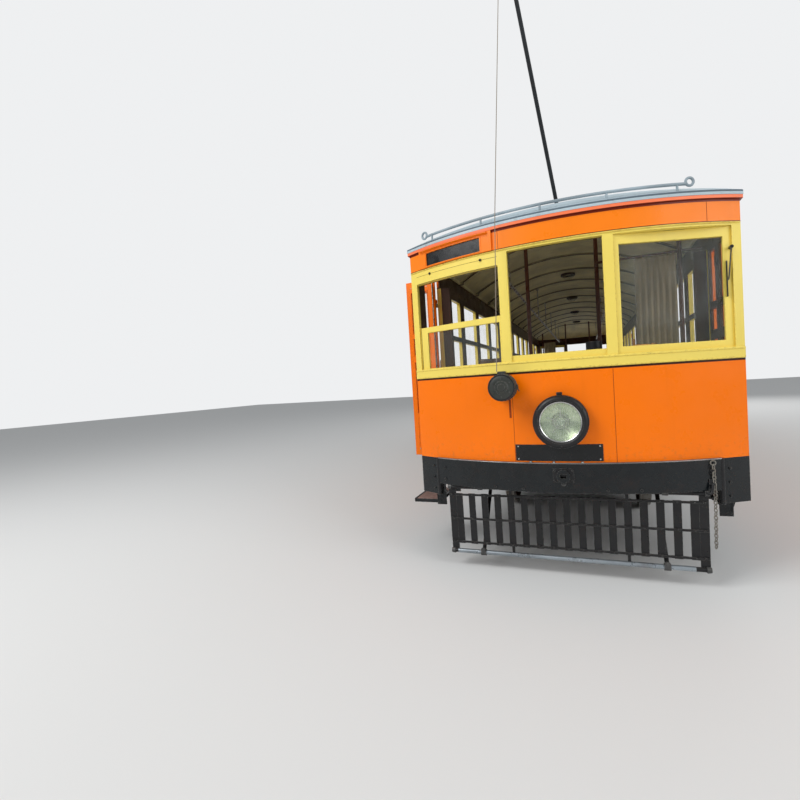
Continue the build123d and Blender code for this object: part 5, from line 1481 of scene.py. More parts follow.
@dataclass
class Fittings:
    """Sign, plate, wiper, bumper gear, chain, retriever and grab handles of each end."""

    sign_x: tuple = (-1.050, -0.540)
    plate_x: tuple = (-0.345, 0.280)
    reel_x: float = -0.400
    reel_z: float = 1.531
    reel_face: float = -6.436
    reel_bolts: int = 6
    reel_circle: float = 0.070

    def build(self) -> None:
        """Makes every small fitting of the ends."""
        self.sign()
        self.plate()
        self.wiper()
        self.bumper()
        self.retriever()
        self.post_handles()

    def sign(self) -> None:
        """Blank roller blind behind glass, its bead and the visor over it."""
        low, high = self.sign_x
        blind = Form()
        blind.arc(section(0.0042, 0.0075, 2.6142, 2.7225), low, high, 16)
        blind.both_ends("sign_blinds", "sign_black", Paint.BLIND)
        box = Form()
        visor = [(0.0180, 2.7585), (0.0420, 2.7480), (0.0430, 2.7440), (0.0180, 2.7345)]
        box.arc(visor, low - 0.05, high + 0.06, 20)
        for bead in ([(0.0170, 2.6060), (0.0215, 2.6080), (0.0215, 2.6130), (0.0170, 2.6145)],
                     [(0.0170, 2.7225), (0.0215, 2.7240), (0.0215, 2.7300), (0.0170, 2.7320)]):
            box.arc(bead, low - 0.006, high + 0.006, 16)
        for inner, outer in ((low - 0.010, low), (high, high + 0.010)):
            box.arc(section(0.0170, 0.0212, 2.6080, 2.7300), inner, outer, 1)
        box.both_ends("sign_visors", "orange_paint", Paint.SIGN_BOX)

    def plate(self) -> None:
        """Blank plate at the foot of the dash and the bright bolts under it."""
        low, high = self.plate_x
        plate = Form()
        shape = [(0.0030, 0.952), (0.0050, 0.954), (0.0050, 1.076), (0.0030, 1.078), (0.0005, 1.078),
                 (0.0005, 0.952)]
        plate.arc(shape, low, high, 16)
        plate.both_ends("blank_plates", "black_paint", Paint.PLATE)
        bolts = Form()
        for x in (low + 0.02, high - 0.02):
            for z in (0.966, 1.064):
                bolts.bolt((x, end_y(x, 0.005), z), OUT, 0.006, 0.003, 12)
        for x in (-0.235, -0.065, 0.135):
            bolts.rod((x, end_y(x, 0.010), 0.938), (x, end_y(x, 0.010), 0.950), 0.011, 12)
        bolts.both_ends("plate_bolts", "fitting_steel", Paint.BRIGHT)

    def wiper(self) -> None:
        """Wiper of the window to the right of the middle one."""
        made = Form()
        face = sash_y(1.165, 0.412, 1.180)
        made.rod((1.172, face + 0.004, 2.421), (1.172, face - 0.040, 2.421), 0.012, 16)
        made.rod((1.172, face - 0.030, 2.425), (1.150, face - 0.028, 2.200), 0.0045, 8)
        made.block((1.139, face - 0.030, 2.078), (1.145, face - 0.006, 2.330), 0.002)
        made.rod((1.150, face - 0.028, 2.200), (1.142, face - 0.026, 2.195), 0.006, 8)
        made.both_ends("wipers", "black_paint", Paint.SATIN)

    def bumper(self) -> None:
        """Pale lip, end posts, catch and chain of each bumper; the lip's pale half-metal colour is worn bare
        metal and a painted highlight along the bumper's top edge.
        """
        # Pale lip along the top edge: worn bare metal, and a painted highlight of that edge.
        lip = Form()
        shape = [(0.028, 0.9350), (0.0325, 0.9350), (0.0345, 0.9385), (0.0325, 0.9420), (0.002, 0.9420),
                 (0.002, 0.9350)]
        lip.arc(shape, -1.045, 1.045, 40)
        lip.both_ends("bumper_lips", "black_paint", Paint.WORN_EDGE_AND_HIGHLIGHT)
        posts = Form()
        for side in (-1, 1):
            x = side * 1.048
            y = end_y(x, 0.020)
            posts.rod((x, y, 0.612), (x, y, 0.942), 0.017, 16)
            for z in (0.66, 0.76, 0.86):
                inner, outer = x - side * 0.07, x + side * 0.06
                posts.bolt((inner, end_y(inner, 0.030), z), OUT, 0.013, 0.010)
                posts.bolt((outer, end_y(outer), z), (side * 0.4, -1, 0), 0.010, 0.008)
            for x in (side * 0.52, side * 0.30):
                posts.bolt((x, end_y(x, 0.030), 0.74), OUT, 0.012, 0.009)
        posts.block((-0.075, end_y(0, 0.036), 0.796), (0.075, end_y(0, 0.028), 0.904), 0.003)
        for x in (-0.062, 0.062):
            for z in (0.812, 0.888):
                posts.bolt((x, end_y(0, 0.036), z), OUT, 0.008, 0.006)
        posts.both_ends("bumper_posts", "black_paint", Paint.SATIN)
        catch = Form()
        loop = [(-0.014, -6.318, 0.800), (-0.016, -6.324, 0.786), (0.0, -6.326, 0.776),
                (0.016, -6.324, 0.786), (0.014, -6.318, 0.800)]
        catch.pipe(loop, 0.0035, 5)
        catch.rod((0.0, -6.316, 0.800), (0.0, -6.316, 0.785), 0.008, 12)
        catch.both_ends("drawbar_catches", "fitting_steel", Paint.CLAMP)
        chain = Form()
        chain.ring((0.985, end_y(0.985, 0.040), 0.915), (0, 1, 0), 0.016, 0.005)
        runs = [(x, end_y(x, proud), z) for x, proud, z in ((0.985, 0.045, 0.900), (0.992, 0.042, 0.700),
                                                            (0.992, 0.030, 0.480), (0.990, 0.020, 0.300))]
        chain.chain(runs, 0.026, 0.0042)
        chain.both_ends("fender_chains", "fitting_steel", Paint.CHAIN)
        hook = Form()
        bent = [(0.975, -6.118, 0.770), (0.972, -6.128, 0.720), (0.950, -6.132, 0.690),
                (0.932, -6.126, 0.715)]
        hook.pipe(bent, 0.009)
        hook.block((0.955, -6.112, 0.760), (0.990, -6.096, 0.800), 0.004)
        hook.both_ends("chain_hooks", "black_paint", Paint.SATIN)

    def retriever(self) -> None:
        """Cover, ribs, spring case and rope guide of the rope's reel."""
        x, z, face, circle = self.reel_x, self.reel_z, self.reel_face, self.reel_circle
        case = Form()
        rings = [(-0.096, 0.098), (-0.090, 0.106), (-0.080, 0.106), (-0.074, 0.100), (-0.040, 0.100),
                 (-0.034, 0.104), (-0.016, 0.104), (-0.006, 0.098), (0.0, 0.088), (0.001, 0.052),
                 (0.007, 0.046), (0.007, 0.030), (0.012, 0.026), (0.013, 0.0)]
        case.lathe(rings, (x, face, z), OUT, 48)
        for index in range(self.reel_bolts):
            a = FULL_TURN * (index + 0.5) / self.reel_bolts
            at = (x + circle * math.cos(a), face - 0.001, z + circle * math.sin(a))
            case.bolt(at, OUT, 0.006, 0.005)
        case.block((x - 0.030, face + 0.030, z + 0.092), (x + 0.030, face + 0.085, z + 0.122), 0.006)
        case.block((x + 0.090, face + 0.030, z - 0.020), (x + 0.118, face + 0.060, z + 0.016), 0.005)
        case.rod((x + 0.110, face + 0.045, z - 0.010), (x + 0.126, face + 0.045, z - 0.035), 0.004, 8)
        case.both_ends("retriever_cases", "black_paint", Paint.RETRIEVER)
        straps = Form()
        for dz in (-0.060, 0.060):
            for dx in (-0.044, 0.044):
                straps.bolt((x + dx, end_y(x, 0.016), z + dz), OUT, 0.008, 0.006)
        straps.both_ends("retriever_bolts", "fitting_steel", Paint.STEEL)
        streak = Form()
        streak.arc(section(-0.001, 0.0007, z - 0.245, z - 0.085), x + 0.020, x + 0.036, 2)
        streak.both_ends("rust_streaks", "orange_paint", Paint.SEAM)

    def post_handles(self) -> None:
        """Grab handles behind each doorway."""
        bars = Form()
        for side in (-1, 1):
            wall, y, ends = HALF_WIDTH - INTO_WALL, -SIDE_HALF + 0.14, (1.20, 1.85)
            bars.pipe(handle_route(side, y, (wall, HALF_WIDTH + 0.045), ends, 0.05), 0.012)
            for z in ends:
                bars.rod((side * wall, y, z), (side * (HALF_WIDTH + 0.006), y, z), 0.026)
        bars.both_ends("grab_handles", "fitting_steel", Paint.STEEL)


@dataclass
class FenderDetail:
    """Bright foot pipe, clamps and rivets of each fender."""

    top_y: float = -6.100
    top_z: float = 0.697
    foot_y: float = -6.080
    foot_z: float = 0.137
    bars: tuple = (0.217, 0.421, 0.628)
    slats: int = 17
    outer_slat: float = 0.8655

    def face_y(self, z: float) -> float:
        """Y of the fender's plane at one height."""
        return self.top_y + (self.top_z - z) * (self.foot_y - self.top_y) / (self.top_z - self.foot_z)

    def build(self) -> None:
        """Makes the pieces at both ends."""
        foot = Form()
        foot.rod((-0.900, self.foot_y, self.foot_z), (0.860, self.foot_y, self.foot_z), 0.0185, 24)
        foot.both_ends("fender_foot_pipes", "fitting_steel", Paint.FOOT_PIPE)
        clamps, heads = Form(), Form()
        for side in (-1, 1):
            x = side * 0.680
            foot_at = Vector((x, self.foot_y, self.foot_z))
            clamps.rod(foot_at - Vector((0.022, 0, 0)), foot_at + Vector((0.022, 0, 0)), 0.027, 20)
            clamps.block((x - 0.016, self.foot_y - 0.030, self.foot_z - 0.004),
                         (x + 0.016, self.foot_y - 0.018, self.foot_z + 0.044), 0.004)
            clamps.bolt((x, self.foot_y - 0.030, self.foot_z + 0.034), OUT, 0.009, 0.007)
            for x in (side * 0.430, side * 0.680):
                top_at = Vector((x, self.top_y, self.top_z))
                clamps.rod(top_at - Vector((0.020, 0, 0)), top_at + Vector((0.020, 0, 0)), 0.0235, 20)
            for z in (self.top_z, self.foot_z):
                y = self.face_y(z)
                clamps.rod((side * 0.928, y, z), (side * 0.957, y, z), 0.024, 20, 0.020)
            x = side * 0.923
            for z in self.bars:
                heads.bolt((x, self.face_y(z) - 0.006, z), OUT, 0.010, 0.008)
        for index in range(self.slats):
            x = self.outer_slat * (2 * index / (self.slats - 1) - 1)
            for z in self.bars:
                heads.bolt((x, self.face_y(z) - 0.006, z), OUT, 0.0055, 0.004, 8)
        clamps.both_ends("fender_clamps", "black_paint", Paint.CLAMP)
        heads.both_ends("fender_rivets", "black_paint", Paint.SATIN)


@dataclass
class Doors:
    """Glass, beads, panels and handles of the door leaves, and the treads of the steps."""

    bead: float = 0.010
    proud: float = 0.0035
    panel: tuple = (0.930, 1.225)
    ribs: int = 11
    rib_pitch: float = 0.0195

    def build(self) -> None:
        """Dresses all four doors and steps."""
        for number, end in ((1, -1), (2, 1)):
            for letter, side in (("left", -1), ("right", 1)):
                name = f"{number}_{letter}"
                swing, fold = self.turns(name, side, end)
                self.leaf(f"door_{name}_rear", side, end, LEAF_STARTS[0], swing)
                self.leaf(f"door_{name}_front", side, end, LEAF_STARTS[1], swing @ fold)
                self.step(name, side, end)

    def turns(self, name: str, side: int, end: int) -> tuple:
        """Turns that take closed leaves to where they stand.

        Args:
            name: The door, such as 1_left.
            side: -1 for the left of the car, 1 for the right.
            end: -1 for end 1, 1 for end 2.

        Returns:
            The swing of both leaves and the fold of the front one.
        """
        if name not in DOORS_OPEN:
            return Matrix.Identity(4), Matrix.Identity(4)
        opening = -side * end * DOOR_ANGLE
        swing_pin = (side * (HALF_WIDTH + 0.010), end * (SIDE_HALF + 0.0025), 0.0)
        fold_pin = (side * (LEAF_INNER - 0.010), end * (LEAF_STARTS[1] - 0.0025), 0.0)
        return about(swing_pin, opening), about(fold_pin, -2 * opening)

    def leaf(self, body: str, side: int, end: int, start: float, turn: Matrix) -> None:
        """Glass and trim of one leaf.

        Args:
            body: The leaf's node.
            side: -1 for the left of the car, 1 for the right.
            end: -1 for end 1, 1 for end 2.
            start: Distance of its rear edge from the middle of the car.
            turn: Where the closed leaf goes.
        """
        y0, y1 = end * (start + LEAF_STILE), end * (start + LEAF_WIDTH - LEAF_STILE)
        glass = Form()
        for z0, z1 in LEAF_PANES:
            glass.block((side * (LEAF_INNER + 0.014), y0 - end * 0.001, z0 - 0.001),
                        (side * (LEAF_INNER + 0.019), y1 + end * 0.001, z1 + 0.001))
        glass.place(turn)
        glass.piece(f"{body}_glass", body, "window_glass", Paint.DOOR_GLASS)
        trim = Form()
        for face, way in ((LEAF_OUTER, 1), (LEAF_INNER, -1)):
            near, far = side * (face - way * INTO_WALL), side * (face + way * self.proud)
            for z0, z1 in (*LEAF_PANES, self.panel):
                trim.surround((near, y0, z0), (far, y1, z1), self.bead, 0.0015, 1)
            bottom, top = self.panel
            trim.block((near, y0 + end * 0.022, bottom + 0.022), (far, y1 - end * 0.022, top - 0.022), 0.002)
        trim.place(turn)
        trim.piece(f"{body}_beads", body, "orange_paint", Paint.LEAF_ORANGE)
        metal = Form()
        if body.endswith("front"):
            edge = end * (start + LEAF_WIDTH)
            metal.block((side * (LEAF_INNER + 0.004), edge, 0.845),
                        (side * (LEAF_OUTER - 0.004), edge + end * 0.007, 2.665), 0.003)
            reach = (LEAF_OUTER, LEAF_OUTER + 0.026)
            metal.pipe(handle_route(side, edge - end * 0.027, reach, (1.34, 1.62), 0.04), 0.007, 5)
        for z in (0.905, 2.610):
            for y in (y0, y1):
                metal.bolt((side * LEAF_OUTER, y, z), (side, 0, 0), 0.006, 0.003, 8)
        metal.place(turn)
        metal.piece(f"{body}_fittings", body, "fitting_steel", Paint.STEEL)

    def step(self, name: str, side: int, end: int) -> None:
        """Ribbed tread and edging of one step.

        Args:
            name: The step, such as 1_left.
            side: -1 for the left of the car, 1 for the right.
            end: -1 for end 1, 1 for end 2.
        """
        low, high = SIDE_HALF + 0.050, SIDE_HALF + 0.550
        tread = Form()
        tread.block((side * (STEP_X + 0.022), end * (low + 0.016), STEP_Z - 0.001),
                    (side * (STEP_X + STEP_DEPTH - 0.018), end * (high - 0.016), STEP_Z + 0.004), 0.0015)
        for index in range(self.ribs):
            x = side * (STEP_X + 0.038 + index * self.rib_pitch)
            tread.block((x - 0.004, end * (low + 0.022), STEP_Z + 0.003),
                        (x + 0.004, end * (high - 0.022), STEP_Z + 0.007), 0.0015)
        edge = Form()
        outer = STEP_X + STEP_DEPTH
        edge.block((side * (outer - 0.012), end * low, STEP_Z - 0.030),
                   (side * (outer + 0.004), end * high, STEP_Z + 0.006), 0.003)
        for y in (end * (low + 0.10), end * (high - 0.10)):
            edge.block((side * STEP_X, y - 0.016, STEP_Z - 0.042),
                       (side * (outer - 0.02), y + 0.016, STEP_Z - 0.028), 0.003)
        if name not in DOORS_OPEN:
            turn = about((side * STEP_X, 0.0, STEP_Z - 0.015), -side * STEP_ANGLE, "Y")
            tread.place(turn)
            edge.place(turn)
        tread.piece(f"step_{name}_tread", f"step_{name}", "black_paint", Paint.STEP_TREAD)
        edge.piece(f"step_{name}_edge", f"step_{name}", "black_paint", Paint.SATIN)


@dataclass
class Upholstery:
    """Stuffed seat pads and backs with their piping, and the gathered curtain behind each driver."""

    rows: int = 10
    inner_x: float = 0.300
    outer_x: float = 1.177
    pad: Point = (0.877, 0.420, 0.110)
    back: Point = (0.877, 0.050, 0.480)
    pad_z: float = 1.330
    back_z: float = 1.665
    back_y: float = 0.250
    voxel: float = 0.018
    swell: float = 0.008
    most_move: float = 0.012
    channels: int = 4
    pressure: float = 4.0
    frames: int = 20
    seam_deep: float = 0.006
    seam_wide: float = 0.010
    welt_in: float = 0.016
    curtain_x: tuple = (0.645, 0.980)
    curtain_y: float = -5.080
    curtain_z: tuple = (1.566, 2.622)
    grid: tuple = (168, 40)
    folds: int = 7
    rings: int = 8

    def build(self) -> None:
        """Makes the pads, backs, piping and curtains."""
        places = [(side, -SIDE_HALF + (row + 0.5) * WINDOW_PITCH)
                  for row in range(1, self.rows + 1) for side in (-1, 1)]
        middle = (self.inner_x + self.outer_x) / 2
        for name, size, y, z in (("seat_pads", self.pad, 0.0, self.pad_z),
                                 ("seat_backs", self.back, self.back_y, self.back_z)):
            one = self.stuffed(name, size)
            every = Form()
            for side, row_y in places:
                copy = one.copy()
                copy.transform(Matrix.Translation((side * middle, row_y + y, z)))
                every.mesh.from_mesh(copy)
                bpy.data.meshes.remove(copy)
            bpy.data.meshes.remove(one)
            made = every.piece(name, "car", "seat_leather", Paint.LEATHER, 60.0)
            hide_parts("seat_cushions")
        welt = Form()
        for side, row_y in places:
            half_x, half_y = self.pad[0] / 2 - self.welt_in, self.pad[1] / 2 - self.welt_in
            x0, x1 = side * middle - half_x, side * middle + half_x
            y0, y1 = row_y - half_y, row_y + half_y
            top = self.pad_z + self.pad[2] / 2 - 0.014
            corners = [(x0, y0, top), (x1, y0, top), (x1, y1, top), (x0, y1, top)]
            welt.pipe(self.loop(corners, 0.03), 0.005, closed=True)
        welt.piece("seat_piping", "car", "seat_leather", Paint.PIPING)
        self.curtains()

    @staticmethod
    def loop(corners: Sequence[Point], ease: float) -> list:
        """Points round a rectangle with two near each corner.

        Args:
            corners: Its corners.
            ease: Distance of the points from their corner.

        Returns:
            The points in order.
        """
        points = []
        for index, corner in enumerate(corners):
            here, last, after = Vector(corner), Vector(corners[index - 1]), Vector(corners[(index + 1) % 4])
            points += [here + (last - here).normalized() * ease, here + (after - here).normalized() * ease]
        return points

    def stuffed(self, name: str, size: Point) -> bpy.types.Mesh:
        """One pad about the origin, blown up from inside its cover, with sewn channels.

        Args:
            name: Name of the working mesh.
            size: Its finished length, depth and height.

        Returns:
            The finished mesh.
        """
        form = Form()
        half = [s / 2 - self.swell for s in size]
        form.block([-h for h in half], half, min(half) * 0.6, 3)
        holder = linked(f"{name}_start", form.data(f"{name}_start"))
        remesh = holder.modifiers.new("voxels", "REMESH")
        remesh.mode = "VOXEL"
        remesh.voxel_size = self.voxel
        data = applied(holder)
        start = [v.co.copy() for v in data.vertices]
        cover = linked(f"{name}_cover", data)
        cloth = cover.modifiers.new("cover", "CLOTH")
        cloth.settings.use_pressure = True
        cloth.settings.uniform_pressure_force = self.pressure
        cloth.settings.effector_weights.gravity = 0.0
        for step in range(1, self.frames + 1):
            bpy.context.scene.frame_set(step)
        blown = applied(cover)
        bpy.context.scene.frame_set(1)
        bpy.data.meshes.remove(data)
        data = blown
        thin = min(range(3), key=lambda axis: size[axis])
        for vert, old in zip(data.vertices, start):
            move = vert.co - old
            new = old + move * min(1.0, self.most_move / max(move.length, 1e-6))
            crown = 1.0 - 0.35 * (abs(old.x) / half[0]) ** 4
            new[thin] = old[thin] + (new[thin] - old[thin]) * crown
            place = (new.x / size[0] + 0.5) * self.channels
            valley = math.exp(-((place - round(place)) * size[0] / self.channels / self.seam_wide) ** 2)
            if 0.5 < place < self.channels - 0.5 and abs(new[thin]) > half[thin] * 0.6:
                new[thin] -= math.copysign(self.seam_deep * valley, new[thin])
            for axis in range(3):
                new[axis] = min(size[axis] / 2 + 0.004, max(-size[axis] / 2 - 0.001, new[axis]))
            vert.co = new
        return data

    def curtains(self) -> None:
        """Cloth gathered on a rod, in folds that open out downwards, with its rings."""
        (x0, x1), y, (bottom, top) = self.curtain_x, self.curtain_y, self.curtain_z
        across, down = self.grid
        rings = Form()
        for end, turn in END_TURNS:
            cloth = Form()
            rows = []
            length = 0.0
            for j in range(down + 1):
                v = j / down
                row = []
                for i in range(across + 1):
                    u = i / across
                    deep = (0.007 + 0.008 * v) * (1.0 + 0.25 * math.sin(5.1 * u + 2.0 * v))
                    side = 0.010 * v * math.sin(2.3 * math.pi * u)
                    wave = math.sin(FULL_TURN * self.folds * u + 0.7 * math.sin(3.0 * v))
                    point = (x0 + (x1 - x0) * u + side * 0.4, y + deep * wave, top + (bottom - top) * v)
                    row.append(cloth.mesh.verts.new(point))
                length += sum((a.co - b.co).length for a, b in zip(row, row[1:])) / (down + 1)
                rows.append(row)
            for upper, lower in zip(rows, rows[1:]):
                for i in range(across):
                    cloth.mesh.faces.new((upper[i], upper[i + 1], lower[i + 1], lower[i]))
            cloth.place(turn)
            made = cloth.piece(f"curtain_{end}", "car", "curtain_fabric", Paint.CURTAIN, 80.0)
            skin = made.modifiers.new("cloth", "SOLIDIFY")
            skin.thickness = 0.0016
            skin.offset = 0.0
            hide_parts("curtains")
        for index in range(self.rings):
            x = x0 + (x1 - x0) * (index + 0.5) / self.rings
            rings.ring((x, y, 2.632), (1, 0, 0), 0.0195, 0.0022)
        rings.both_ends("curtain_rings", "fitting_steel", Paint.BRONZE)


@dataclass
class Saloon:
    """Hand rails, lamps and driver's handles that show through the windows."""

    rail_x: float = 0.520
    rail_z: float = 2.600
    hangers: int = 7
    lamp_rows: tuple = (-4.6, -2.3, 0.0, 2.3, 4.6)
    controller_top: Point = (0.710, -5.625, 1.775)
    valve_top: Point = (0.260, -5.750, 1.720)
    gauge_at: Point = (0.42, -5.93, 1.80)
    gauge_foot: Point = (0.42, -5.955, 1.70)

    def build(self) -> None:
        """Makes the inside pieces."""
        rails, lamps, cups = Form(), Form(), Form()
        reach = SIDE_HALF - 0.25
        for side in (-1, 1):
            x = side * self.rail_x
            rails.rod((x, -reach, self.rail_z), (x, reach, self.rail_z), 0.0145, 16)
            for index in range(self.hangers):
                y = -reach + 0.05 + index * (2 * reach - 0.1) / (self.hangers - 1)
                rails.rod((x, y, self.rail_z), (x, y, self.vault_z(x) + 0.004), 0.009, 10)
                rails.rod((x, y - 0.022, self.rail_z), (x, y + 0.022, self.rail_z), 0.020, 14)
                rails.rod((x, y, self.vault_z(x) - 0.006), (x, y, self.vault_z(x) + 0.006), 0.028, 14)
        rails.piece("hand_rails", "car", "fitting_steel", Paint.STEEL)
        top = self.vault_z(0.0) - 0.016
        bowl = [(0.004, 0.090), (0.022, 0.094), (0.046, 0.082), (0.066, 0.052), (0.074, 0.0)]
        rim = [(-0.014, 0.102), (0.010, 0.106), (0.020, 0.100), (0.020, 0.092), (0.004, 0.090),
               (-0.014, 0.102)]
        for y in self.lamp_rows:
            lamps.lathe(bowl, (0, y, top), (0, 0, -1))
            cups.lathe(rim, (0, y, top), (0, 0, -1))
        lamps.piece("ceiling_lamps", "car", "lens_glass", Paint.LAMP_GLASS)
        cups.piece("ceiling_lamp_rims", "car", "fitting_steel", Paint.SEAT_IRON)
        self.driver()

    @staticmethod
    def vault_z(x: float) -> float:
        """Height of the ceiling's ribs at x."""
        return CROWN - ARCH_RADIUS + math.sqrt((ARCH_RADIUS - 0.0565) ** 2 - x * x)

    def driver(self) -> None:
        """Handles, gauge and lid of the controller and the brake valve."""
        handles, gauge, lids = Form(), Form(), Form()
        cap = Vector(self.controller_top)
        grip = cap + Vector((-0.140, 0.05, 0.0))
        hub = [(0.0, 0.034), (0.014, 0.034), (0.020, 0.026), (0.034, 0.024), (0.036, 0.0)]
        handles.lathe(hub, cap, UP, 24)
        handles.rod(cap + Vector((0, 0, 0.024)), grip + Vector((0, 0, 0.030)), 0.010, 12, 0.008)
        handles.rod(grip + Vector((0, 0, 0.020)), grip + Vector((0, 0, 0.085)), 0.013)
        top = Vector(self.valve_top)
        handles.rod(top - Vector((0, 0, 0.030)), top + Vector((0, 0, 0.030)), 0.020)
        handles.rod(top + Vector((0, 0, 0.020)), top + Vector((0.16, 0.06, 0.026)), 0.008, 12)
        handles.both_ends("driver_handles", "fitting_steel", Paint.BRONZE)
        dial = [(0.0, 0.052), (0.018, 0.052), (0.024, 0.046), (0.024, 0.040), (0.016, 0.038), (0.016, 0.0)]
        gauge.lathe(dial, self.gauge_at, (0, 0.94, 0.34), 32)
        gauge.rod(self.gauge_at, self.gauge_foot, 0.010, 10)
        gauge.both_ends("air_gauges", "black_paint", Paint.SATIN)
        for z in (1.02, 1.36, 1.62):
            lids.block((0.574, -5.504, z), (0.846, -5.494, z + 0.012), 0.003)
        for z in (1.08, 1.60):
            lids.rod((0.852, -5.496, z), (0.852, -5.496, z + 0.07), 0.009, 12)
        lids.rod((0.590, -5.492, 1.33), (0.590, -5.474, 1.33), 0.014, 16)
        lids.both_ends("controller_lids", "fitting_steel", Paint.STEEL)


@dataclass
class TrolleyGear:
    """Springs, stays and ferrules of the trolley bases and poles, and screws of the walkway."""

    spring_x: float = 0.105
    spring_z: float = 3.360
    spring_radius: float = 0.040
    spring_start: float = 0.10
    spring_length: float = 0.52
    turns: int = 13
    steps: int = 26
    bolts: int = 8
    bolt_circle: float = 0.132
    bands: tuple = ((-0.10, 0.036), (-0.30, 0.036), (-0.50, 0.036), (-3.96, 0.024), (-4.04, 0.023))
    screw_pitch: float = 0.780
    screw_z: float = CROWN + 0.0638

    def build(self) -> None:
        """Makes the pieces of both bases and poles, and the walkway's screws."""
        for index, y, turn in ((1, -POLE_Y, -POLE_SWING), (2, POLE_Y, math.pi)):
            self.base(index, Matrix.Translation((0, y, 0)) @ Matrix.Rotation(turn, 4, "Z"))
            self.ferrules(index)
        screws = Form()
        for y in [step * self.screw_pitch for step in range(-4, 5)]:
            for x in (-0.15, 0.0, 0.15):
                for dx in (-0.04, 0.04):
                    screws.bolt((x + dx, y, self.screw_z), UP, 0.007, 0.002, 8)
        screws.piece("walkway_screws", "car", "fitting_steel", Paint.STEEL)

    def base(self, index: int, place: Matrix) -> None:
        """Springs, their rods and the bolts of one base.

        Args:
            index: 1 or 2.
            place: Where the base stands, from a base at the middle with its springs along Y.
        """
        coils, stays = Form(), Form()
        z, radius, count = self.spring_z, self.spring_radius, self.turns * self.steps
        for x in (-self.spring_x, self.spring_x):
            points = []
            for step in range(count + 1):
                a = FULL_TURN * step / self.turns
                y = self.spring_start + self.spring_length * step / count
                points.append((x + radius * math.cos(a), y, z + radius * math.sin(a)))
            coils.pipe(points, 0.0055, 5, order=2)
            stays.rod((x, 0.05, z), (x, 0.72, z), 0.009, 12)
            stays.rod((x, 0.655, z), (x, 0.675, z), 0.020, 6)
        for step in range(self.bolts):
            a = FULL_TURN * (step + 0.5) / self.bolts
            at = (self.bolt_circle * math.cos(a), self.bolt_circle * math.sin(a), 3.304)
            stays.bolt(at, UP, 0.011, 0.010)
        for x in (-0.076, 0.076):
            stays.rod((x - 0.012, 0.0, POLE_Z), (x + 0.012, 0.0, POLE_Z), 0.024, 6)
        for shape, name, slot in ((coils, "springs", "fitting_steel"), (stays, "bolts", "black_paint")):
            shape.place(place)
            shape.piece(f"trolley_{index}_{name}", f"trolley_base_{index}", slot, Paint.CLAMP)

    def ferrules(self, index: int) -> None:
        """Ferrules, bolts and rope's eye of one pole.

        Args:
            index: 1 or 2.
        """
        rings = Form()
        for y, radius in self.bands:
            rings.rod((0, y - 0.014, 0), (0, y + 0.014, 0), radius, 20)
        for y in (-0.16, -0.44):
            rings.rod((-0.052, y, 0.0), (0.052, y, 0.0), 0.008, 8)
            for x in (-0.050, 0.050):
                rings.bolt((x, y, 0.0), (x, 0, 0), 0.013, 0.010)
        rings.ring(ROPE_EYE, (0, 1, 0), 0.014, 0.004)
        rings.place(pole_frame(index))
        rings.piece(f"pole_{index}_ferrules", f"pole_{index}", "black_paint", Paint.CLAMP)


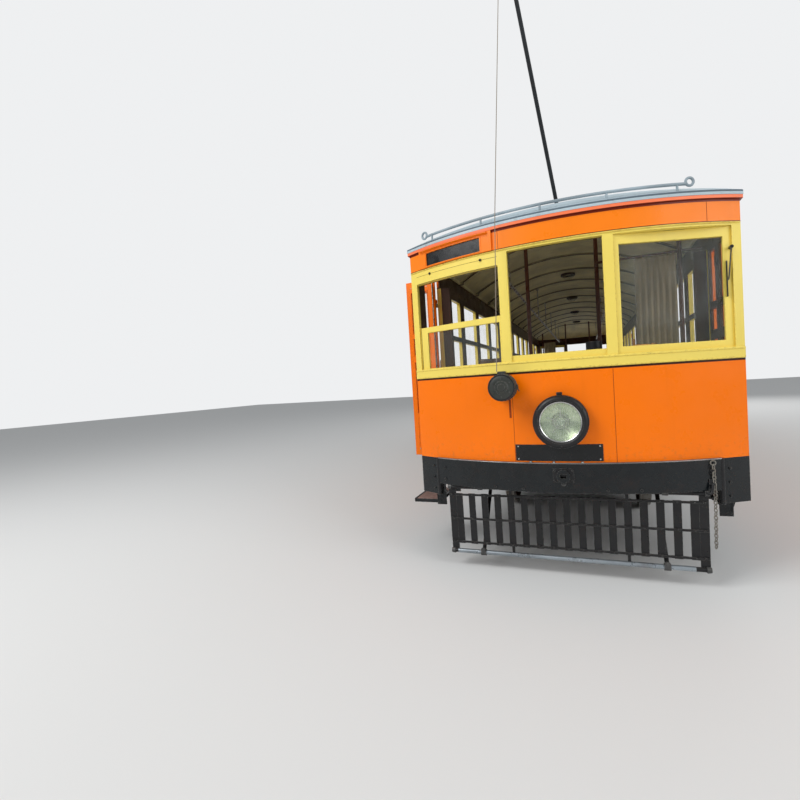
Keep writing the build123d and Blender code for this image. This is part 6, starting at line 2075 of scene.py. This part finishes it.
@dataclass
class Running:
    """Bolts, lids, rigging and pipes of the trucks and of the gear below the floor."""

    frame_face: float = 0.960
    motor_y: float = 0.470
    motor_z: float = 0.380
    motor_bolts: int = 8
    bolt_circle: float = 0.16
    tank_x: float = -0.760
    tank_z: float = 0.620

    def build(self) -> None:
        """Dresses both trucks and the underfloor."""
        for number, centre in ((1, -TRUCK_CENTRE), (2, TRUCK_CENTRE)):
            self.truck(number, centre)
        self.tanks()
        self.grids()

    def truck(self, number: int, centre: float) -> None:
        """Box lids, straps, spring clips, brake rods and motor bands of one truck.

        Args:
            number: 1 or 2.
            centre: Y of its pivot.
        """
        iron, steel, bands = Form(), Form(), Form()
        for side in (-1, 1):
            face = side * self.frame_face
            for end in (-1, 1):
                y = centre + end * HALF_BASE
                lid = side * 1.040
                iron.block((lid - side * INTO_WALL, y - 0.050, 0.304), (lid + side * 0.008, y + 0.050, 0.402),
                           0.006)
                iron.rod((lid, y - 0.060, 0.414), (lid, y + 0.060, 0.414), 0.011, 12)
                iron.block((lid, y - 0.010, 0.286), (lid + side * 0.018, y + 0.010, 0.318), 0.004)
                for dy in (-0.105, 0.105):
                    for z in (0.575, 0.600):
                        iron.bolt((face, y + dy, z), (side, 0, 0), 0.012, 0.010)
                for dy in (-0.076, 0.076):
                    iron.bolt((side * 1.010, y + dy, 0.440), (side, 0, 0), 0.009, 0.008)
                cap = [(0.0, 0.052), (0.010, 0.052), (0.018, 0.040), (0.020, 0.0)]
                steel.lathe(cap, (side * 0.690, y, AXLE_Z), (side, 0, 0), 24)
                shoe = centre + end * (HALF_BASE + 0.345)
                steel.rod((side * 0.758, shoe, 0.36), (side * 0.758, shoe, 0.56), 0.012, 12)
                steel.rod((side * 0.758, shoe, 0.555), (side * 0.758, centre + end * 0.25, 0.520), 0.011, 12)
            for dy in (-0.30, -0.10, 0.10, 0.30):
                iron.bolt((face, centre + dy, 0.590), (side, 0, 0), 0.013, 0.011)
            iron.block((side * 0.894, centre - 0.040, 0.318), (side * 0.976, centre + 0.040, 0.440), 0.006)
            x = face - side * 0.020
            for y in (centre - 0.060, centre + 0.060):
                steel.rod((x, y, 0.300), (x, y, 0.560), 0.011, 12)
                steel.rod((x, y, 0.296), (x, y, 0.312), 0.019, 6)
        iron.piece(f"truck_{number}_iron", f"truck_{number}", "truck_iron", Paint.TRUCK)
        steel.piece(f"truck_{number}_rods", f"truck_{number}", "truck_iron", Paint.CLAMP)
        for end in (-1, 1):
            y, z = centre + end * self.motor_y, self.motor_z
            for x in (-0.270, -0.10, 0.10, 0.270):
                bands.rod((x - 0.012, y, z), (x + 0.012, y, z), 0.2185, 40)
            for x in (-0.290, 0.290):
                for step in range(self.motor_bolts):
                    a = FULL_TURN * step / self.motor_bolts
                    at = (x, y + self.bolt_circle * math.cos(a), z + self.bolt_circle * math.sin(a))
                    bands.bolt(at, (x, 0, 0), 0.010, 0.008)
        bands.piece(f"motor_{number}_bands", f"truck_{number}", "motor_iron", Paint.MOTOR)

    def tanks(self) -> None:
        """Straps, drain cocks and pipes of the air tanks."""
        straps, pipes = Form(), Form()
        for middle in (-1.0, 1.0):
            for dy in (-0.28, 0.28):
                y = middle + dy
                low, high = (self.tank_x, y - 0.020, self.tank_z), (self.tank_x, y + 0.020, self.tank_z)
                straps.rod(low, high, 0.1685, 40)
                for x in (self.tank_x - 0.155, self.tank_x + 0.155):
                    straps.rod((x, y, self.tank_z), (x, y, 0.80), 0.010, 10)
            pipes.rod((self.tank_x, middle, 0.458), (self.tank_x, middle, 0.430), 0.012, 10)
            pipes.rod((-0.780, middle, 0.434), (-0.735, middle, 0.434), 0.006, 8)
        route = ((self.tank_x, 0.575, self.tank_z), (self.tank_x, 0.50, self.tank_z), (-0.70, 0.30, 0.66),
                 (-0.40, 0.15, 0.66), (-0.19, 0.10, 0.64))
        for way in (-1, 1):
            pipes.pipe([(x, way * y, z) for x, y, z in route], 0.013, 8)
        straps.piece("tank_straps", "car", "black_paint", Paint.CLAMP)
        pipes.piece("air_pipes", "car", "black_paint", Paint.CLAMP)
        head = Form()
        for x in (-0.10, 0.0, 0.10):
            for z in [0.520 + step * 0.030 for step in range(6)]:
                head.block((x - 0.038, -0.335, z), (x + 0.038, -0.318, z + 0.010), 0.002)
        head.piece("compressor_fins", "car", "black_paint", Paint.MOTOR)

    def grids(self) -> None:
        """Frames and bolts round the resistor grids."""
        bars = Form()
        for middle in (-1.0, 0.0, 1.0):
            for z in (0.478, 0.742):
                bars.block((1.036, middle - 0.395, z), (1.048, middle + 0.395, z + 0.014), 0.003)
            for dy in (-0.385, 0.385):
                for z in (0.50, 0.73):
                    bars.bolt((1.040, middle + dy, z), (1, 0, 0), 0.010, 0.008)
        bars.piece("grid_frames", "car", "truck_iron", Paint.CLAMP)


@dataclass
class Rope:
    """Trolley rope from each retriever up to the head of its pole."""

    reel: Point = (-0.430, -6.415, 1.650)
    eave: Point = (-0.4025, -6.296, 2.800)
    rail: Point = (-0.402, -6.262, 2.905)
    radius: float = 0.0032
    parting: float = 0.12
    steps: int = 12

    def build(self) -> None:
        """Makes the ropes of both poles."""
        for index, turn in END_TURNS:
            reel, eave, rail = (turn @ Vector(point) for point in (self.reel, self.eave, self.rail))
            head = pole_frame(index) @ Vector(ROPE_EYE)
            middle = rail.lerp(head, self.parting)
            low = Form()
            low.rod(reel, eave, self.radius, 8)
            low.rod(eave, rail, self.radius, 8)
            low.piece(f"rope_{index}_low", "car", "curtain_fabric", Paint.ROPE)
            base = f"trolley_base_{index}"
            for part, start, end, bodies in (("middle", rail, middle, ("car", base)),
                                             ("high", middle, head, (base, f"pole_{index}"))):
                run = Form()
                points = [start.lerp(end, step / self.steps) for step in range(self.steps + 1)]
                for here, there in zip(points, points[1:]):
                    run.rod(here, there, self.radius, 8)
                made = run.piece(f"rope_{index}_{part}", None, "curtain_fabric", Paint.ROPE)
                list(bodies)
                tuple(start)
                tuple(end)
                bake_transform(made)


def main() -> None:
    """Builds the studio and every piece of the car."""
    logging.basicConfig(level=logging.INFO, format="%(message)s")
    for maker in (Studio(), Dressing(), Headlight(), Shell(), Fittings(), FenderDetail(), Doors(),
                  Upholstery(), Saloon(), TrolleyGear(), Running(), Rope()):
        LOG.info("making %s", type(maker).__name__)
        maker.build()


if __name__ == "__main__":
    main()
